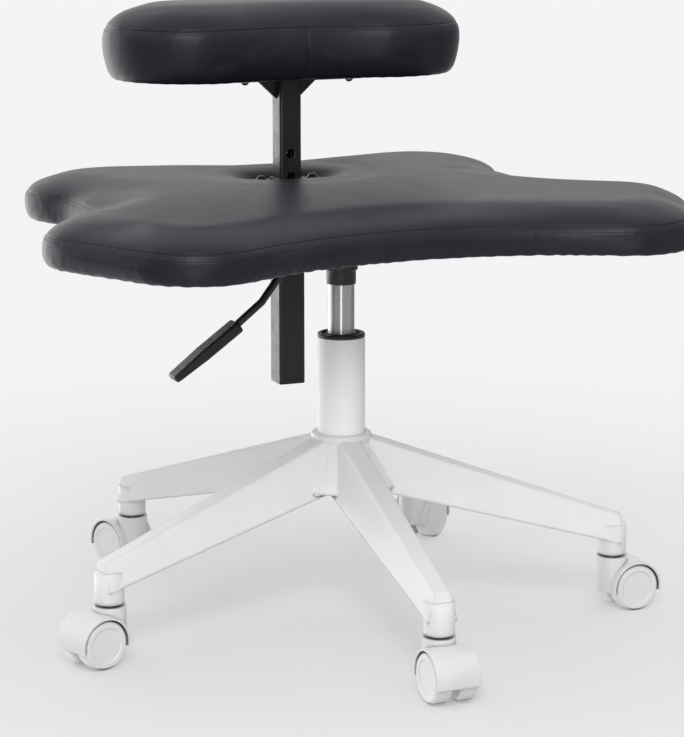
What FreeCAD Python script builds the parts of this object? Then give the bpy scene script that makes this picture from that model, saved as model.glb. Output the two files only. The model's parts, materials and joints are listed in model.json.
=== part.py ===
import FreeCAD, Part
import math
import os
import re

import Sketcher

# Cross-legged office chair: a lobed lower seat to fold the legs on, with a perch on a post behind.
# Origin on the floor under the column, +Z up, +Y behind the sitter, +X on the sitter's left.
# Lengths in millimetres, angles in degrees.

SIZES = {
    # Casters
    "wheel_diameter": 50,
    "wheel_width": 19,
    "wheel_edge": 2.5,
    "wheel_face_dish": 1.2,
    "wheel_face_rim": 4,
    "wheel_cover": 4,
    "axle_diameter": 8,
    "axle_clearance": 0.05,
    "hood_width": 46,
    "hood_wall": 2.4,
    "hood_gap": 1.2,
    "hood_edge": 20,
    "hood_web": 6,
    "hood_web_gap": 0.8,
    "hood_hub_diameter": 17,
    "collar_height": 58.5,
    "collar_diameter": 33,
    "caster_trail": 20,
    "stem_diameter": 11,
    "stem_clearance": 0.05,
    "stem_insert": 12,
    "stem_reach": 25,
    "stem_flange_diameter": 17,
    "stem_flange": 2.5,
    "stem_gap": 0.5,
    # Star base
    "spoke_heading": 50,
    "stem_circle_radius": 289.5,
    "boss_diameter": 30,
    "boss_height": 32,
    "socket_depth": 28,
    "spoke_root": 24,
    "spoke_overhang": 8.5,
    "spoke_root_top": 131.5,
    "spoke_tip_top": 42,
    "spoke_root_bottom": 78,
    "spoke_tip_bottom": 13,
    "spoke_root_top_width": 22,
    "spoke_tip_top_width": 15,
    "spoke_root_width": 50,
    "spoke_tip_width": 31,
    "spoke_edge": 3,
    "spoke_wall": 3.5,
    "spoke_rib": 3,
    "spoke_rib_rise": 12,
    "hub_height": 134.5,
    "hub_collar_diameter": 64,
    "hub_collar_height": 7,
    "hub_collar_edge": 2,
    "hub_skirt_diameter": 120,
    "hub_skirt_bottom": 78.5,
    "hub_wall": 4,
    "hub_sleeve_wall": 6,
    "hub_sleeve_bottom": 76.5,
    # Gas lift
    "tube_diameter": 50,
    "tube_wall": 2,
    "tube_above_hub": 102,
    "tube_in_hub": 62,
    "tube_taper": 1.1,
    "tube_floor": 3,
    "bush_depth": 60,
    "bush_rim_height": 4,
    "bush_rim_width": 4,
    "bush_groove": 2,
    "bush_clearance": 0.05,
    "cylinder_diameter": 28,
    "cylinder_wall": 1.8,
    "cylinder_inside": 102,
    "cylinder_exposed": 52,
    "cylinder_taper": 0.7,
    "cylinder_head": 20,
    "rod_diameter": 10,
    "rod_guide_length": 14,
    "rod_clearance": 0.05,
    "rod_length": 162,
    "rod_tail": 6,
    "rod_shoulder_diameter": 15,
    "rod_shoulder": 3,
    "piston_length": 14,
    "piston_clearance": 0.08,
    "race_diameter": 24,
    "race_thickness": 1.5,
    "ball_diameter": 3.5,
    "ball_circle_diameter": 17.5,
    "clip_thickness": 1.5,
    "clip_width": 4,
    "clip_gap": 0.4,
    "button_diameter": 6,
    "button_clearance": 0.05,
    "button_bore": 14,
    "button_travel": 4,
    # Seat plate and release lever
    "socket_diameter": 31,
    "socket_rim_diameter": 35,
    "socket_collar": 14,
    "socket_length": 29.5,
    "sheet_thickness": 2.5,
    "plate_width": 170,
    "plate_depth": 130,
    "plate_corner": 12,
    "plate_bolt_spacing_x": 140,
    "plate_bolt_spacing_y": 100,
    "plate_bolt_diameter": 6,
    "bolt_clearance": 0.3,
    "bolt_head_diameter": 13,
    "bolt_head": 4,
    "tee_nut_diameter": 20,
    "tee_nut_flange": 1.5,
    "tee_nut_wall": 1.5,
    "tray_width": 92,
    "tray_span": 44,
    "tray_corner": 8,
    "tray_depth": 26.5,
    "lever_diameter": 8,
    "lever_rise": 8,
    "lever_gap": 0.5,
    "lever_end": 9,
    "lever_pivot": 38,
    "lever_pin_diameter": 4,
    "lever_pin_clearance": 0.05,
    "lever_slot_gap": 2,
    "lever_bend_reach": 50,
    "lever_knee_reach": 89,
    "lever_knee_drop": 51,
    "grip_reach": 127,
    "grip_drop": 81,
    "grip_tip_reach": 187,
    "grip_tip_drop": 124,
    "grip_width": 22,
    "grip_thickness": 12,
    "grip_tip_thickness": 8,
    "grip_rounding": 3,
    "grip_socket": 14,
    # Lower seat
    "board_thickness": 15,
    "cover_thickness": 3,
    "cover_under": 1,
    "band_height": 28,
    "band_tuck": 5,
    "band_swell": 1.5,
    "crown_height": 16,
    "crown_run": 60,
    "front_lobe_x": 226,
    "front_lobe_y": -189,
    "front_lobe_radius": 76,
    "side_lobe_x": 272,
    "side_lobe_y": -98,
    "side_lobe_radius": 76,
    "rear_lobe_x": 182,
    "rear_lobe_y": 211,
    "rear_lobe_radius": 94,
    "front_waist_radius": 367,
    "side_notch_radius": 140,
    "rear_waist_radius": 477,
    # Post and its sleeve
    "post_offset": 152,
    "sleeve_width": 30,
    "sleeve_corner": 3,
    "sleeve_length": 228,
    "sleeve_gap": 0.5,
    "sleeve_stand": 3,
    "flange_width": 90,
    "flange_depth": 46,
    "flange_corner": 22,
    "flange_thickness": 4,
    "flange_rest": 15,
    "flange_gap": 3,
    "flange_bolt_spacing": 60,
    "flange_bolt_diameter": 8,
    "flange_bolt_head_diameter": 13,
    "flange_bolt_head": 6,
    "flange_bolt_end": 2,
    "flange_nut_height": 6.5,
    "flange_nut_width": 13,
    "dish_run": 28,
    "post_width": 25,
    "post_wall": 2,
    "post_length": 250,
    "post_rest": 87,
    "post_hole_diameter": 10,
    "post_hole_height": 168,
    "post_hole_pitch": 25,
    "plug_height": 12,
    "plug_lip": 2,
    "lock_drop": 25,
    "lock_screw_diameter": 8,
    "lock_screw_clearance": 0.05,
    "lock_screw_gap": 0.4,
    "lock_nut_width": 14,
    "lock_nut_height": 8,
    "lock_knob_gap": 6,
    "lock_knob_diameter": 32,
    "lock_knob_depth": 15,
    "lock_knob_scallop": 9,
    # Perch
    "perch_plate_width": 150,
    "perch_plate_depth": 90,
    "perch_plate_corner": 10,
    "perch_plate_thickness": 4,
    "perch_screw_spacing_x": 120,
    "perch_screw_spacing_y": 62,
    "perch_screw_diameter": 5,
    "perch_screw_length": 13,
    "gusset_width": 25,
    "gusset_height": 23,
    "gusset_thickness": 4,
    "perch_board_thickness": 12,
    "perch_cover_thickness": 8,
    "pad_band_height": 54,
    "pad_crown_height": 23,
    "pad_crown_run": 62,
    "pad_swell": 1.5,
    "pad_tuck": 12,
    "pad_end_x": 108,
    "pad_setback": 8,
    "pad_end_radius": 92,
    "pad_waist_radius": 250,
}

# Swivel of each caster about its stem, measured from +X
CASTER_HEADINGS = {
    "caster_1_heading": 36,
    "caster_2_heading": 112,
    "caster_3_heading": -162,
    "caster_4_heading": -91,
    "caster_5_heading": 0,
}
SIZES.update(CASTER_HEADINGS)

# Levels and distances that follow from the sizes, from the floor up
PLACES = {
    "wheel_radius": "wheel_diameter / 2",
    "wheel_inner_face": "hood_web / 2 + hood_web_gap",
    "wheel_outer_face": "wheel_inner_face + wheel_width",
    "cavity_radius": "wheel_radius + hood_gap",
    "hood_radius": "cavity_radius + hood_wall",
    "stem_flange_top": "collar_height + stem_flange",
    "boss_bottom": "stem_flange_top + stem_gap",
    "stem_top": "boss_bottom + stem_reach",
    "spoke_reach": "stem_circle_radius + spoke_overhang",
    "hub_top": "boss_bottom + hub_height",
    "tube_radius": "tube_diameter / 2",
    "tube_foot_radius": "tube_radius - tube_taper",
    "tube_bottom": "hub_top - tube_in_hub",
    "tube_floor_top": "tube_bottom + tube_floor",
    "tube_top": "hub_top + tube_above_hub",
    "sleeve_foot": "boss_bottom + hub_sleeve_bottom",
    "bush_bottom": "tube_top - bush_depth",
    "bush_top": "tube_top + bush_rim_height",
    "rod_radius": "rod_diameter / 2",
    "cylinder_radius": "cylinder_diameter / 2",
    "cylinder_bore": "cylinder_radius - cylinder_wall",
    "cylinder_tip_radius": "cylinder_radius - cylinder_taper",
    "cylinder_bottom": "bush_top - cylinder_inside",
    "lower_race_top": "tube_floor_top + race_thickness",
    "upper_race_bottom": "lower_race_top + ball_diameter",
    "upper_race_top": "upper_race_bottom + race_thickness",
    "rod_tip": "tube_bottom + rod_length",
    "socket_bottom": "bush_top + cylinder_exposed",
    "tray_floor": "socket_bottom + socket_length",
    "board_bottom": "tray_floor + tray_depth",
    "plate_bottom": "board_bottom - sheet_thickness",
    "tray_bottom": "tray_floor - sheet_thickness",
    "lever_height": "tray_floor + lever_rise",
    "button_top": "lever_height - lever_diameter / 2 - lever_gap",
    "button_bottom": "tray_floor - button_bore + button_travel",
    "board_top": "board_bottom + board_thickness",
    "cushion_bottom": "board_bottom - cover_under",
    "seat_seam": "cushion_bottom + band_height",
    "seat_crown": "seat_seam + crown_height",
    "flange_bottom": "board_top + flange_rest",
    "flange_top": "flange_bottom + flange_thickness",
    "sleeve_top": "flange_top + sleeve_stand",
    "sleeve_bottom": "sleeve_top - sleeve_length",
    "sleeve_bore": "post_width + 2 * sleeve_gap",
    "sleeve_back": "post_offset + sleeve_width / 2",
    "post_bottom": "sleeve_bottom + post_rest",
    "post_top": "post_bottom + post_length",
    "lock_height": "board_bottom - lock_drop",
    "lock_tip": "post_offset + post_width / 2 + lock_screw_gap",
    "lock_nut_back": "sleeve_back + lock_nut_height",
    "lock_knob_front": "lock_nut_back + lock_knob_gap",
    "lock_knob_back": "lock_knob_front + lock_knob_depth",
    "perch_plate_top": "post_top + perch_plate_thickness",
    "perch_board_top": "perch_plate_top + perch_board_thickness",
    "pad_end_y": "post_offset + pad_setback",
    "pad_bottom": "perch_plate_top - cover_under",
    "pad_seam": "pad_bottom + pad_band_height",
}

doc = FreeCAD.newDocument("cross_legged_chair")
sheet = doc.addObject("Spreadsheet::Sheet", "Sizes")
for row, (alias, size) in enumerate(SIZES.items(), start=1):
    sheet.set(f"A{row}", alias)
    sheet.set(f"B{row}", str(size))
    sheet.setAlias(f"B{row}", alias)
doc.recompute()

nodes = []


def formula(text):
    """Write a formula of size and place names as an expression on the sheet's cells."""
    def expand(match):
        word = match.group(0)
        if word in PLACES:
            return f"({formula(PLACES[word])})"
        return f"Sizes.{word}" if word in SIZES else word
    return re.sub(r"[a-z][a-z_0-9]*", expand, text)


def value(text):
    return float(sheet.evalExpression(formula(text)))


def bind(item, path, text):
    item.setExpression(path, formula(text))


def keep(item, label):
    """Register a finished piece under the name that its file gets."""
    item.Label = label
    nodes.append(item)
    return item


# Sketches: polygons, circles and rounded rectangles placed by formulas

def new_body(label):
    body = doc.addObject("PartDesign::Body", label)
    body.Label = label
    return body


def origin_part(body, role):
    return next(part for part in body.Origin.OriginFeatures if part.Role == role)


def new_sketch(body, role, offset=("0", "0", "0")):
    sketch = body.newObject("Sketcher::SketchObject", body.Name + "_sketch")
    sketch.AttachmentSupport = [(origin_part(body, role), "")]
    sketch.MapMode = "FlatFace"
    for letter, text in zip("xyz", offset):
        if text != "0":
            bind(sketch, f".AttachmentOffset.Base.{letter}", text)
    return sketch


def add_named(sketch, constraint, text):
    """Add one dimension and bind it to its formula."""
    index = sketch.addConstraint(constraint)
    name = f"size_{index}"
    sketch.renameConstraint(index, name)
    bind(sketch, f"Constraints.{name}", text)


def pin_point(sketch, geometry, point, x, y):
    """Hold a point at formula coordinates, on an axis where the formula is a plain 0."""
    for kind, axis, text in (("DistanceX", -2, x), ("DistanceY", -1, y)):
        if text == "0":
            sketch.addConstraint(Sketcher.Constraint("PointOnObject", geometry, point, axis))
        else:
            add_named(sketch, Sketcher.Constraint(kind, -1, 1, geometry, point, value(text)), text)


def polygon(*points):
    def draw(sketch):
        corners = [FreeCAD.Vector(value(x), value(y), 0) for x, y in points]
        count = len(points)
        first = sketch.GeometryCount
        for index, corner in enumerate(corners):
            sketch.addGeometry(Part.LineSegment(corner, corners[(index + 1) % count]), False)
        for index in range(count):
            following = first + (index + 1) % count
            sketch.addConstraint(Sketcher.Constraint("Coincident", first + index, 2, following, 1))
        for index, (x, y) in enumerate(points):
            pin_point(sketch, first + index, 1, x, y)
    return draw


def path(*points):
    def draw(sketch):
        corners = [FreeCAD.Vector(value(x), value(y), 0) for x, y in points]
        for start, end in zip(corners, corners[1:]):
            sketch.addGeometry(Part.LineSegment(start, end), False)
        for index in range(len(corners) - 2):
            sketch.addConstraint(Sketcher.Constraint("Coincident", index, 2, index + 1, 1))
        for index, (x, y) in enumerate(points[:-1]):
            pin_point(sketch, index, 1, x, y)
        pin_point(sketch, len(points) - 2, 2, *points[-1])
    return draw


def circle(x, y, radius):
    def draw(sketch):
        centre = FreeCAD.Vector(value(x), value(y), 0)
        round_line = Part.Circle(centre, FreeCAD.Vector(0, 0, 1), value(radius))
        index = sketch.addGeometry(round_line, False)
        add_named(sketch, Sketcher.Constraint("Radius", index, value(radius)), radius)
        if (x, y) == ("0", "0"):
            sketch.addConstraint(Sketcher.Constraint("Coincident", index, 3, -1, 1))
        else:
            pin_point(sketch, index, 3, x, y)
    return draw


def rounded_rectangle(x, y, width, depth, corner):
    """Rectangle centred on a point, with one radius at its corners."""
    def draw(sketch):
        left, right = f"{x} - ({width}) / 2", f"{x} + ({width}) / 2"
        low, high = f"{y} - ({depth}) / 2", f"{y} + ({depth}) / 2"
        x0, x1, y0, y1, r = (value(text) for text in (left, right, low, high, corner))
        up = FreeCAD.Vector(0, 0, 1)
        first = sketch.GeometryCount
        sides = (((x0 + r, y0), (x1 - r, y0)), ((x1, y0 + r), (x1, y1 - r)),
                 ((x1 - r, y1), (x0 + r, y1)), ((x0, y1 - r), (x0, y0 + r)))
        for start, end in sides:
            line = Part.LineSegment(FreeCAD.Vector(*start, 0), FreeCAD.Vector(*end, 0))
            sketch.addGeometry(line, False)
        centres = ((x1 - r, y0 + r), (x1 - r, y1 - r), (x0 + r, y1 - r), (x0 + r, y0 + r))
        for quarter, centre in enumerate(centres):
            ring = Part.Circle(FreeCAD.Vector(*centre, 0), up, r)
            start = math.radians(90 * quarter - 90)
            sketch.addGeometry(Part.ArcOfCircle(ring, start, start + math.pi / 2), False)
        rules = []
        for side in range(4):
            arc = first + 4 + side
            following = first + (side + 1) % 4
            rules.append(Sketcher.Constraint("Tangent", first + side, 2, arc, 1))
            rules.append(Sketcher.Constraint("Tangent", arc, 2, following, 1))
            rules.append(Sketcher.Constraint(("Horizontal", "Vertical")[side % 2], first + side))
            if side:
                rules.append(Sketcher.Constraint("Equal", first + 4, arc))
        sketch.addConstraint(rules)
        add_named(sketch, Sketcher.Constraint("Radius", first + 4, r), corner)
        add_named(sketch, Sketcher.Constraint("DistanceY", -1, 1, first, 1, y0), low)
        add_named(sketch, Sketcher.Constraint("DistanceX", -1, 1, first + 1, 1, x1), right)
        add_named(sketch, Sketcher.Constraint("DistanceY", -1, 1, first + 2, 1, y1), high)
        add_named(sketch, Sketcher.Constraint("DistanceX", -1, 1, first + 3, 1, x0), left)
    return draw


# Features: each adds to its body, or cuts from it

def drawn_sketch(body, role, loops, offset):
    sketch = new_sketch(body, role, offset)
    for draw in loops:
        draw(sketch)
    return sketch


def finish_feature(body, feature):
    body.Tip = feature
    doc.recompute()
    return feature


def revolve(body, *loops, role="XZ_Plane", offset=("0", "0", "0"), cut=False):
    """Turn closed loops about their sketch's upright axis."""
    kind = "PartDesign::Groove" if cut else "PartDesign::Revolution"
    sketch = drawn_sketch(body, role, loops, offset)
    feature = body.newObject(kind, body.Name + "_turn")
    feature.Profile = sketch
    feature.ReferenceAxis = (sketch, ["V_Axis"])
    feature.Angle = 360
    return finish_feature(body, feature)


def extrude(body, length, *loops, role="XY_Plane", offset=("0", "0", "0"),
            cut=False, both=False, back=False):
    """Extrude closed loops along their sketch's normal, against it, or both ways."""
    kind = "PartDesign::Pocket" if cut else "PartDesign::Pad"
    sketch = drawn_sketch(body, role, loops, offset)
    feature = body.newObject(kind, body.Name + "_extrude")
    feature.Profile = sketch
    feature.SideType = "Symmetric" if both else "One side"
    feature.Reversed = back != cut
    bind(feature, "Length", length)
    return finish_feature(body, feature)


def loft(body, *sections, cut=False):
    """Loft through (offset along X, loop) sections that stand across the X axis."""
    sketches = [drawn_sketch(body, "YZ_Plane", [loop], ("0", "0", place)) for place, loop in sections]
    kind = "PartDesign::SubtractiveLoft" if cut else "PartDesign::AdditiveLoft"
    feature = body.newObject(kind, body.Name + "_loft")
    feature.Profile = sketches[0]
    feature.Sections = sketches[1:]
    feature.Ruled = True
    return finish_feature(body, feature)


def repeat_around(body, features, axis, count):
    pattern = body.newObject("PartDesign::PolarPattern", body.Name + "_pattern")
    pattern.Originals = features
    pattern.Axis = axis
    pattern.Angle = 360
    pattern.Occurrences = count
    return finish_feature(body, pattern)


def round_edges(body, radius, chosen):
    """Fillet the edges of the body's last feature that a test picks."""
    tip = body.Tip
    names = [f"Edge{index}" for index, edge in enumerate(tip.Shape.Edges, start=1) if chosen(edge)]
    fillet = body.newObject("PartDesign::Fillet", body.Name + "_fillet")
    fillet.Base = (tip, names)
    bind(fillet, "Radius", radius)
    return finish_feature(body, fillet)


def turned(label, *points):
    """A whole piece turned about Z from one profile of (radius, height) points."""
    body = new_body(label)
    revolve(body, polygon(*points))
    return body


def place(item, x, y, z):
    for letter, text in zip("xyz", (x, y, z)):
        if text != "0":
            bind(item, f".Placement.Base.{letter}", text)
    return item


def group(label, items):
    """Several like pieces that share one node, each a solid of its own."""
    compound = doc.addObject("Part::Compound", label)
    compound.Links = items
    doc.recompute()
    return keep(compound, label)


# Star base

SPOKES = 5


def spoke_section(along, inset, floor):
    """Trapezoid across a spoke: share along it from root to tip, wall inset, and extra depth below."""
    def between(root, tip):
        return f"({root} + ({tip} - {root}) * {along})"
    half_top = f"({between('spoke_root_top_width', 'spoke_tip_top_width')} / 2 - ({inset}))"
    half_low = f"({between('spoke_root_width', 'spoke_tip_width')} / 2 - ({inset}))"
    high = f"(boss_bottom + {between('spoke_root_top', 'spoke_tip_top')} - ({inset}))"
    low = f"(boss_bottom + {between('spoke_root_bottom', 'spoke_tip_bottom')} - ({floor}))"
    return polygon((f"-{half_low}", low), (half_low, low),
                   (f"{half_top} + spoke_edge / 2", f"{high} - spoke_edge"), (half_top, high),
                   (f"-{half_top}", high), (f"-{half_top} - spoke_edge / 2", f"{high} - spoke_edge"))


def make_star_base():
    body = new_body("star_base")
    collar_low = "hub_top - hub_collar_height"
    skirt_low = "boss_bottom + hub_skirt_bottom"
    revolve(body, polygon(("0", "hub_top"), ("hub_collar_diameter / 2 - hub_collar_edge", "hub_top"),
                          ("hub_collar_diameter / 2", "hub_top - hub_collar_edge"),
                          ("hub_collar_diameter / 2", collar_low),
                          ("hub_collar_diameter / 2 - hub_collar_edge", f"{collar_low} - hub_collar_edge"),
                          ("hub_skirt_diameter / 2", skirt_low), ("0", skirt_low)))
    axis = (origin_part(body, "Z_Axis"), [""])
    spoke = loft(body, ("spoke_root", spoke_section("0", "0", "0")),
                 ("spoke_reach", spoke_section("1", "0", "0")))
    repeat_around(body, [spoke], axis, SPOKES)
    # Open underside: the spokes are channels, and the hub is a skirt round a sleeve
    hollow = loft(body, ("spoke_root", spoke_section("0", "spoke_wall", "spoke_wall")),
                  ("spoke_reach - spoke_wall", spoke_section("1", "spoke_wall", "spoke_wall")), cut=True)
    repeat_around(body, [hollow], axis, SPOKES)
    revolve(body, polygon(("0", f"{collar_low} - hub_wall"),
                          ("hub_collar_diameter / 2 - hub_wall", f"{collar_low} - hub_wall"),
                          ("hub_skirt_diameter / 2 - hub_wall", skirt_low),
                          ("hub_skirt_diameter / 2 - hub_wall", f"{skirt_low} - hub_wall"),
                          ("0", f"{skirt_low} - hub_wall")), cut=True)
    revolve(body, polygon(("0", collar_low), ("tube_radius + hub_sleeve_wall", collar_low),
                          ("tube_radius + hub_sleeve_wall", "sleeve_foot"), ("0", "sleeve_foot")))
    # A stiffening rib down the middle of each spoke, and the caster boss at its tip
    rib_low = "boss_bottom + spoke_tip_bottom + spoke_rib_rise"
    rib_root_low = "boss_bottom + spoke_root_bottom + spoke_rib_rise"
    rib_high = "boss_bottom + spoke_tip_top - spoke_wall"
    rib_root_high = "boss_bottom + spoke_root_top - spoke_wall"
    rib = loft(body,
               ("tube_radius", polygon(("-spoke_rib / 2", rib_root_low), ("spoke_rib / 2", rib_root_low),
                                       ("spoke_rib / 2", rib_root_high), ("-spoke_rib / 2", rib_root_high))),
               ("stem_circle_radius", polygon(("-spoke_rib / 2", rib_low), ("spoke_rib / 2", rib_low),
                                              ("spoke_rib / 2", rib_high), ("-spoke_rib / 2", rib_high))))
    boss = extrude(body, "boss_height", circle("stem_circle_radius", "0", "boss_diameter / 2"),
                   offset=("0", "0", "boss_bottom"))
    repeat_around(body, [rib, boss], axis, SPOKES)
    stem_hole = circle("stem_circle_radius", "0", "stem_diameter / 2 + stem_clearance")
    socket = extrude(body, "socket_depth", stem_hole, offset=("0", "0", "boss_bottom"), cut=True)
    repeat_around(body, [socket], axis, SPOKES)
    revolve(body, polygon(("0", "hub_top"), ("tube_radius", "hub_top"),
                          ("tube_foot_radius", "sleeve_foot"), ("0", "sleeve_foot")), cut=True)
    body.Placement.Rotation = FreeCAD.Rotation(FreeCAD.Vector(0, 0, 1), 0)
    bind(body, ".Placement.Rotation.Angle", "spoke_heading")
    keep(body, "star_base")


# Casters

def make_wheel(label, side):
    """A closed-face wheel on the axle, on the side +1 or -1 of the hood's web."""
    def at(text):
        return text if side > 0 else f"-({text})"
    axle_bore = "axle_diameter / 2 + axle_clearance"
    axle_end = "wheel_outer_face - wheel_cover"
    dish = "wheel_outer_face - wheel_face_dish"
    face = "wheel_radius - wheel_edge"
    body = new_body(label)
    revolve(body, polygon(("0", at(dish)), ("0", at(axle_end)), (axle_bore, at(axle_end)),
                          (axle_bore, at("wheel_inner_face")), (face, at("wheel_inner_face")),
                          ("wheel_radius", at("wheel_inner_face + wheel_edge")),
                          ("wheel_radius", at("wheel_outer_face - wheel_edge")),
                          (face, at("wheel_outer_face")),
                          (f"{face} - wheel_face_rim", at("wheel_outer_face")),
                          (f"{face} - wheel_face_rim - wheel_face_dish", at(dish))),
            role="XY_Plane", offset=("caster_trail", "0", "wheel_radius"))
    return body


def make_hood(label):
    """Hood over both wheels: a drum with a centre web, and a collar round the stem."""
    wheel_circle = ("caster_trail", "wheel_radius")
    body = new_body(label)
    extrude(body, "hood_width", circle(*wheel_circle, "hood_radius"), role="XZ_Plane", both=True)
    round_edges(body, "hood_wall * 0.4", lambda edge: isinstance(edge.Curve, Part.Circle))
    extrude(body, "collar_height - hood_edge", circle("0", "0", "collar_diameter / 2"),
            offset=("0", "0", "hood_edge"))
    for side, back in (("", False), ("-", True)):
        extrude(body, "hood_width", circle(*wheel_circle, "cavity_radius"), role="XZ_Plane",
                offset=("0", "0", f"{side}hood_web / 2"), cut=True, back=back)
    low_corner = "caster_trail - 2 * hood_radius"
    far_corner = "caster_trail + 2 * hood_radius"
    extrude(body, "2 * hood_width", polygon((low_corner, "-hood_edge"), (far_corner, "-hood_edge"),
                                            (far_corner, "hood_edge"), (low_corner, "hood_edge")),
            role="XZ_Plane", cut=True, both=True)
    extrude(body, "hood_web", circle(*wheel_circle, "hood_hub_diameter / 2"), role="XZ_Plane", both=True)
    extrude(body, "2 * hood_web", circle(*wheel_circle, "axle_diameter / 2"), role="XZ_Plane",
            cut=True, both=True)
    extrude(body, "stem_insert", circle("0", "0", "stem_diameter / 2"),
            offset=("0", "0", "collar_height"), cut=True, back=True)
    return body


def make_stem(label):
    foot = "collar_height - stem_insert"
    return turned(label, ("0", foot), ("stem_diameter / 2", foot),
                  ("stem_diameter / 2", "collar_height"), ("stem_flange_diameter / 2", "collar_height"),
                  ("stem_flange_diameter / 2", "stem_flange_top"), ("stem_diameter / 2", "stem_flange_top"),
                  ("stem_diameter / 2", "stem_top - stem_diameter / 8"),
                  ("stem_diameter * 3 / 8", "stem_top"), ("0", "stem_top"))


def make_axle(label):
    end = "wheel_outer_face - wheel_cover - hood_web_gap"
    body = new_body(label)
    revolve(body, polygon(("0", f"-({end})"), ("axle_diameter / 2", f"-({end})"),
                          ("axle_diameter / 2", end), ("0", end)),
            role="XY_Plane", offset=("caster_trail", "0", "wheel_radius"))
    return body


def make_casters():
    for index in range(SPOKES):
        number = index + 1
        pieces = [make_hood(f"caster_hood_{number}"), make_stem(f"caster_stem_{number}"),
                  make_axle(f"caster_axle_{number}"), make_wheel(f"wheel_left_{number}", 1),
                  make_wheel(f"wheel_right_{number}", -1)]
        around = f"(spoke_heading + {index} * 360 / {SPOKES})"
        for piece in pieces:
            place(piece, f"stem_circle_radius * cos({around})", f"stem_circle_radius * sin({around})", "0")
            bind(piece, ".Placement.Rotation.Angle", f"caster_{number}_heading")
            keep(piece, piece.Label)


# Gas lift

def make_gas_lift():
    tube_bore = "tube_radius - tube_wall"
    foot_bore = "tube_foot_radius - tube_wall"
    rod_hole = "rod_radius + rod_clearance"
    keep(turned("column_tube", (rod_hole, "tube_bottom"), ("tube_foot_radius", "tube_bottom"),
                ("tube_foot_radius", "sleeve_foot"), ("tube_radius", "hub_top"), ("tube_radius", "tube_top"),
                (tube_bore, "tube_top"), (tube_bore, "hub_top"), (foot_bore, "sleeve_foot"),
                (foot_bore, "tube_floor_top"), (rod_hole, "tube_floor_top")), "column_tube")
    bush_bore = "cylinder_radius + bush_clearance"
    groove_wall = "tube_radius - bush_rim_width"
    lip_wall = f"{bush_bore} + bush_groove"
    keep(turned("guide_bush", (bush_bore, "bush_bottom"), (tube_bore, "bush_bottom"), (tube_bore, "tube_top"),
                ("tube_radius", "tube_top"), ("tube_radius", "bush_top - bush_groove / 2"),
                ("tube_radius - bush_groove / 2", "bush_top"), (groove_wall, "bush_top"),
                (groove_wall, "bush_top - bush_groove"), (lip_wall, "bush_top - bush_groove"),
                (lip_wall, "bush_top"), (bush_bore, "bush_top")), "guide_bush")
    # Thrust bearing on the tube's floor, and the rod that hangs in it
    for label, low, high in (("lower_race", "tube_floor_top", "lower_race_top"),
                             ("upper_race", "upper_race_bottom", "upper_race_top")):
        keep(turned(label, (rod_hole, low), ("race_diameter / 2", low), ("race_diameter / 2", high),
                    (rod_hole, high)), label)
    balls = []
    ball_count = 8
    for index in range(ball_count):
        ball = doc.addObject("Part::Sphere", "bearing_ball")
        bind(ball, "Radius", "ball_diameter / 2")
        turn = f"({index} * 360 / {ball_count})"
        place(ball, f"ball_circle_diameter / 2 * cos({turn})", f"ball_circle_diameter / 2 * sin({turn})",
              "lower_race_top + ball_diameter / 2")
        balls.append(ball)
    group("bearing_balls", balls)
    clip_top = "tube_bottom - clip_gap"
    clip_low = f"{clip_top} - clip_thickness"
    groove_radius = "rod_radius - clip_thickness"
    keep(turned("piston_rod", ("0", "tube_bottom - rod_tail"), ("rod_radius", "tube_bottom - rod_tail"),
                ("rod_radius", clip_low), (groove_radius, clip_low), (groove_radius, clip_top),
                ("rod_radius", clip_top), ("rod_radius", "upper_race_top"),
                ("rod_shoulder_diameter / 2", "upper_race_top"),
                ("rod_shoulder_diameter / 2", "upper_race_top + rod_shoulder"),
                ("rod_radius", "upper_race_top + rod_shoulder"), ("rod_radius", "rod_tip"), ("0", "rod_tip")),
         "piston_rod")
    keep(turned("retaining_clip", (groove_radius, clip_low), ("rod_radius + clip_width", clip_low),
                ("rod_radius + clip_width", clip_top), (groove_radius, clip_top)), "retaining_clip")
    piston_radius = "cylinder_bore - piston_clearance"
    keep(turned("piston_head", ("0", "rod_tip"), (piston_radius, "rod_tip"),
                (piston_radius, "rod_tip + piston_length"), ("0", "rod_tip + piston_length")), "piston_head")
    # Pressure cylinder: a tube whose closed top tapers into the socket, with the valve button's bore
    head_bottom = "tray_floor - cylinder_head"
    button_bore = "button_diameter / 2 + button_clearance"
    keep(turned("lift_cylinder", ("cylinder_bore", "cylinder_bottom"), ("cylinder_radius", "cylinder_bottom"),
                ("cylinder_radius", "socket_bottom"), ("cylinder_tip_radius", "tray_floor"),
                (button_bore, "tray_floor"), (button_bore, "tray_floor - button_bore"),
                ("0", "tray_floor - button_bore"), ("0", head_bottom), ("cylinder_bore", head_bottom)),
         "lift_cylinder")
    keep(turned("rod_guide", (rod_hole, "cylinder_bottom"), ("cylinder_bore", "cylinder_bottom"),
                ("cylinder_bore", "cylinder_bottom + rod_guide_length"),
                (rod_hole, "cylinder_bottom + rod_guide_length")), "rod_guide")
    keep(turned("valve_button", ("0", "button_bottom"), ("button_diameter / 2", "button_bottom"),
                ("button_diameter / 2", "button_top - button_diameter / 6"),
                ("button_diameter / 3", "button_top"), ("0", "button_top")), "valve_button")


# Seat plate and release lever

def plate_corners():
    return [(f"{x}plate_bolt_spacing_x / 2", f"{y}plate_bolt_spacing_y / 2")
            for x in ("", "-") for y in ("", "-")]


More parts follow.
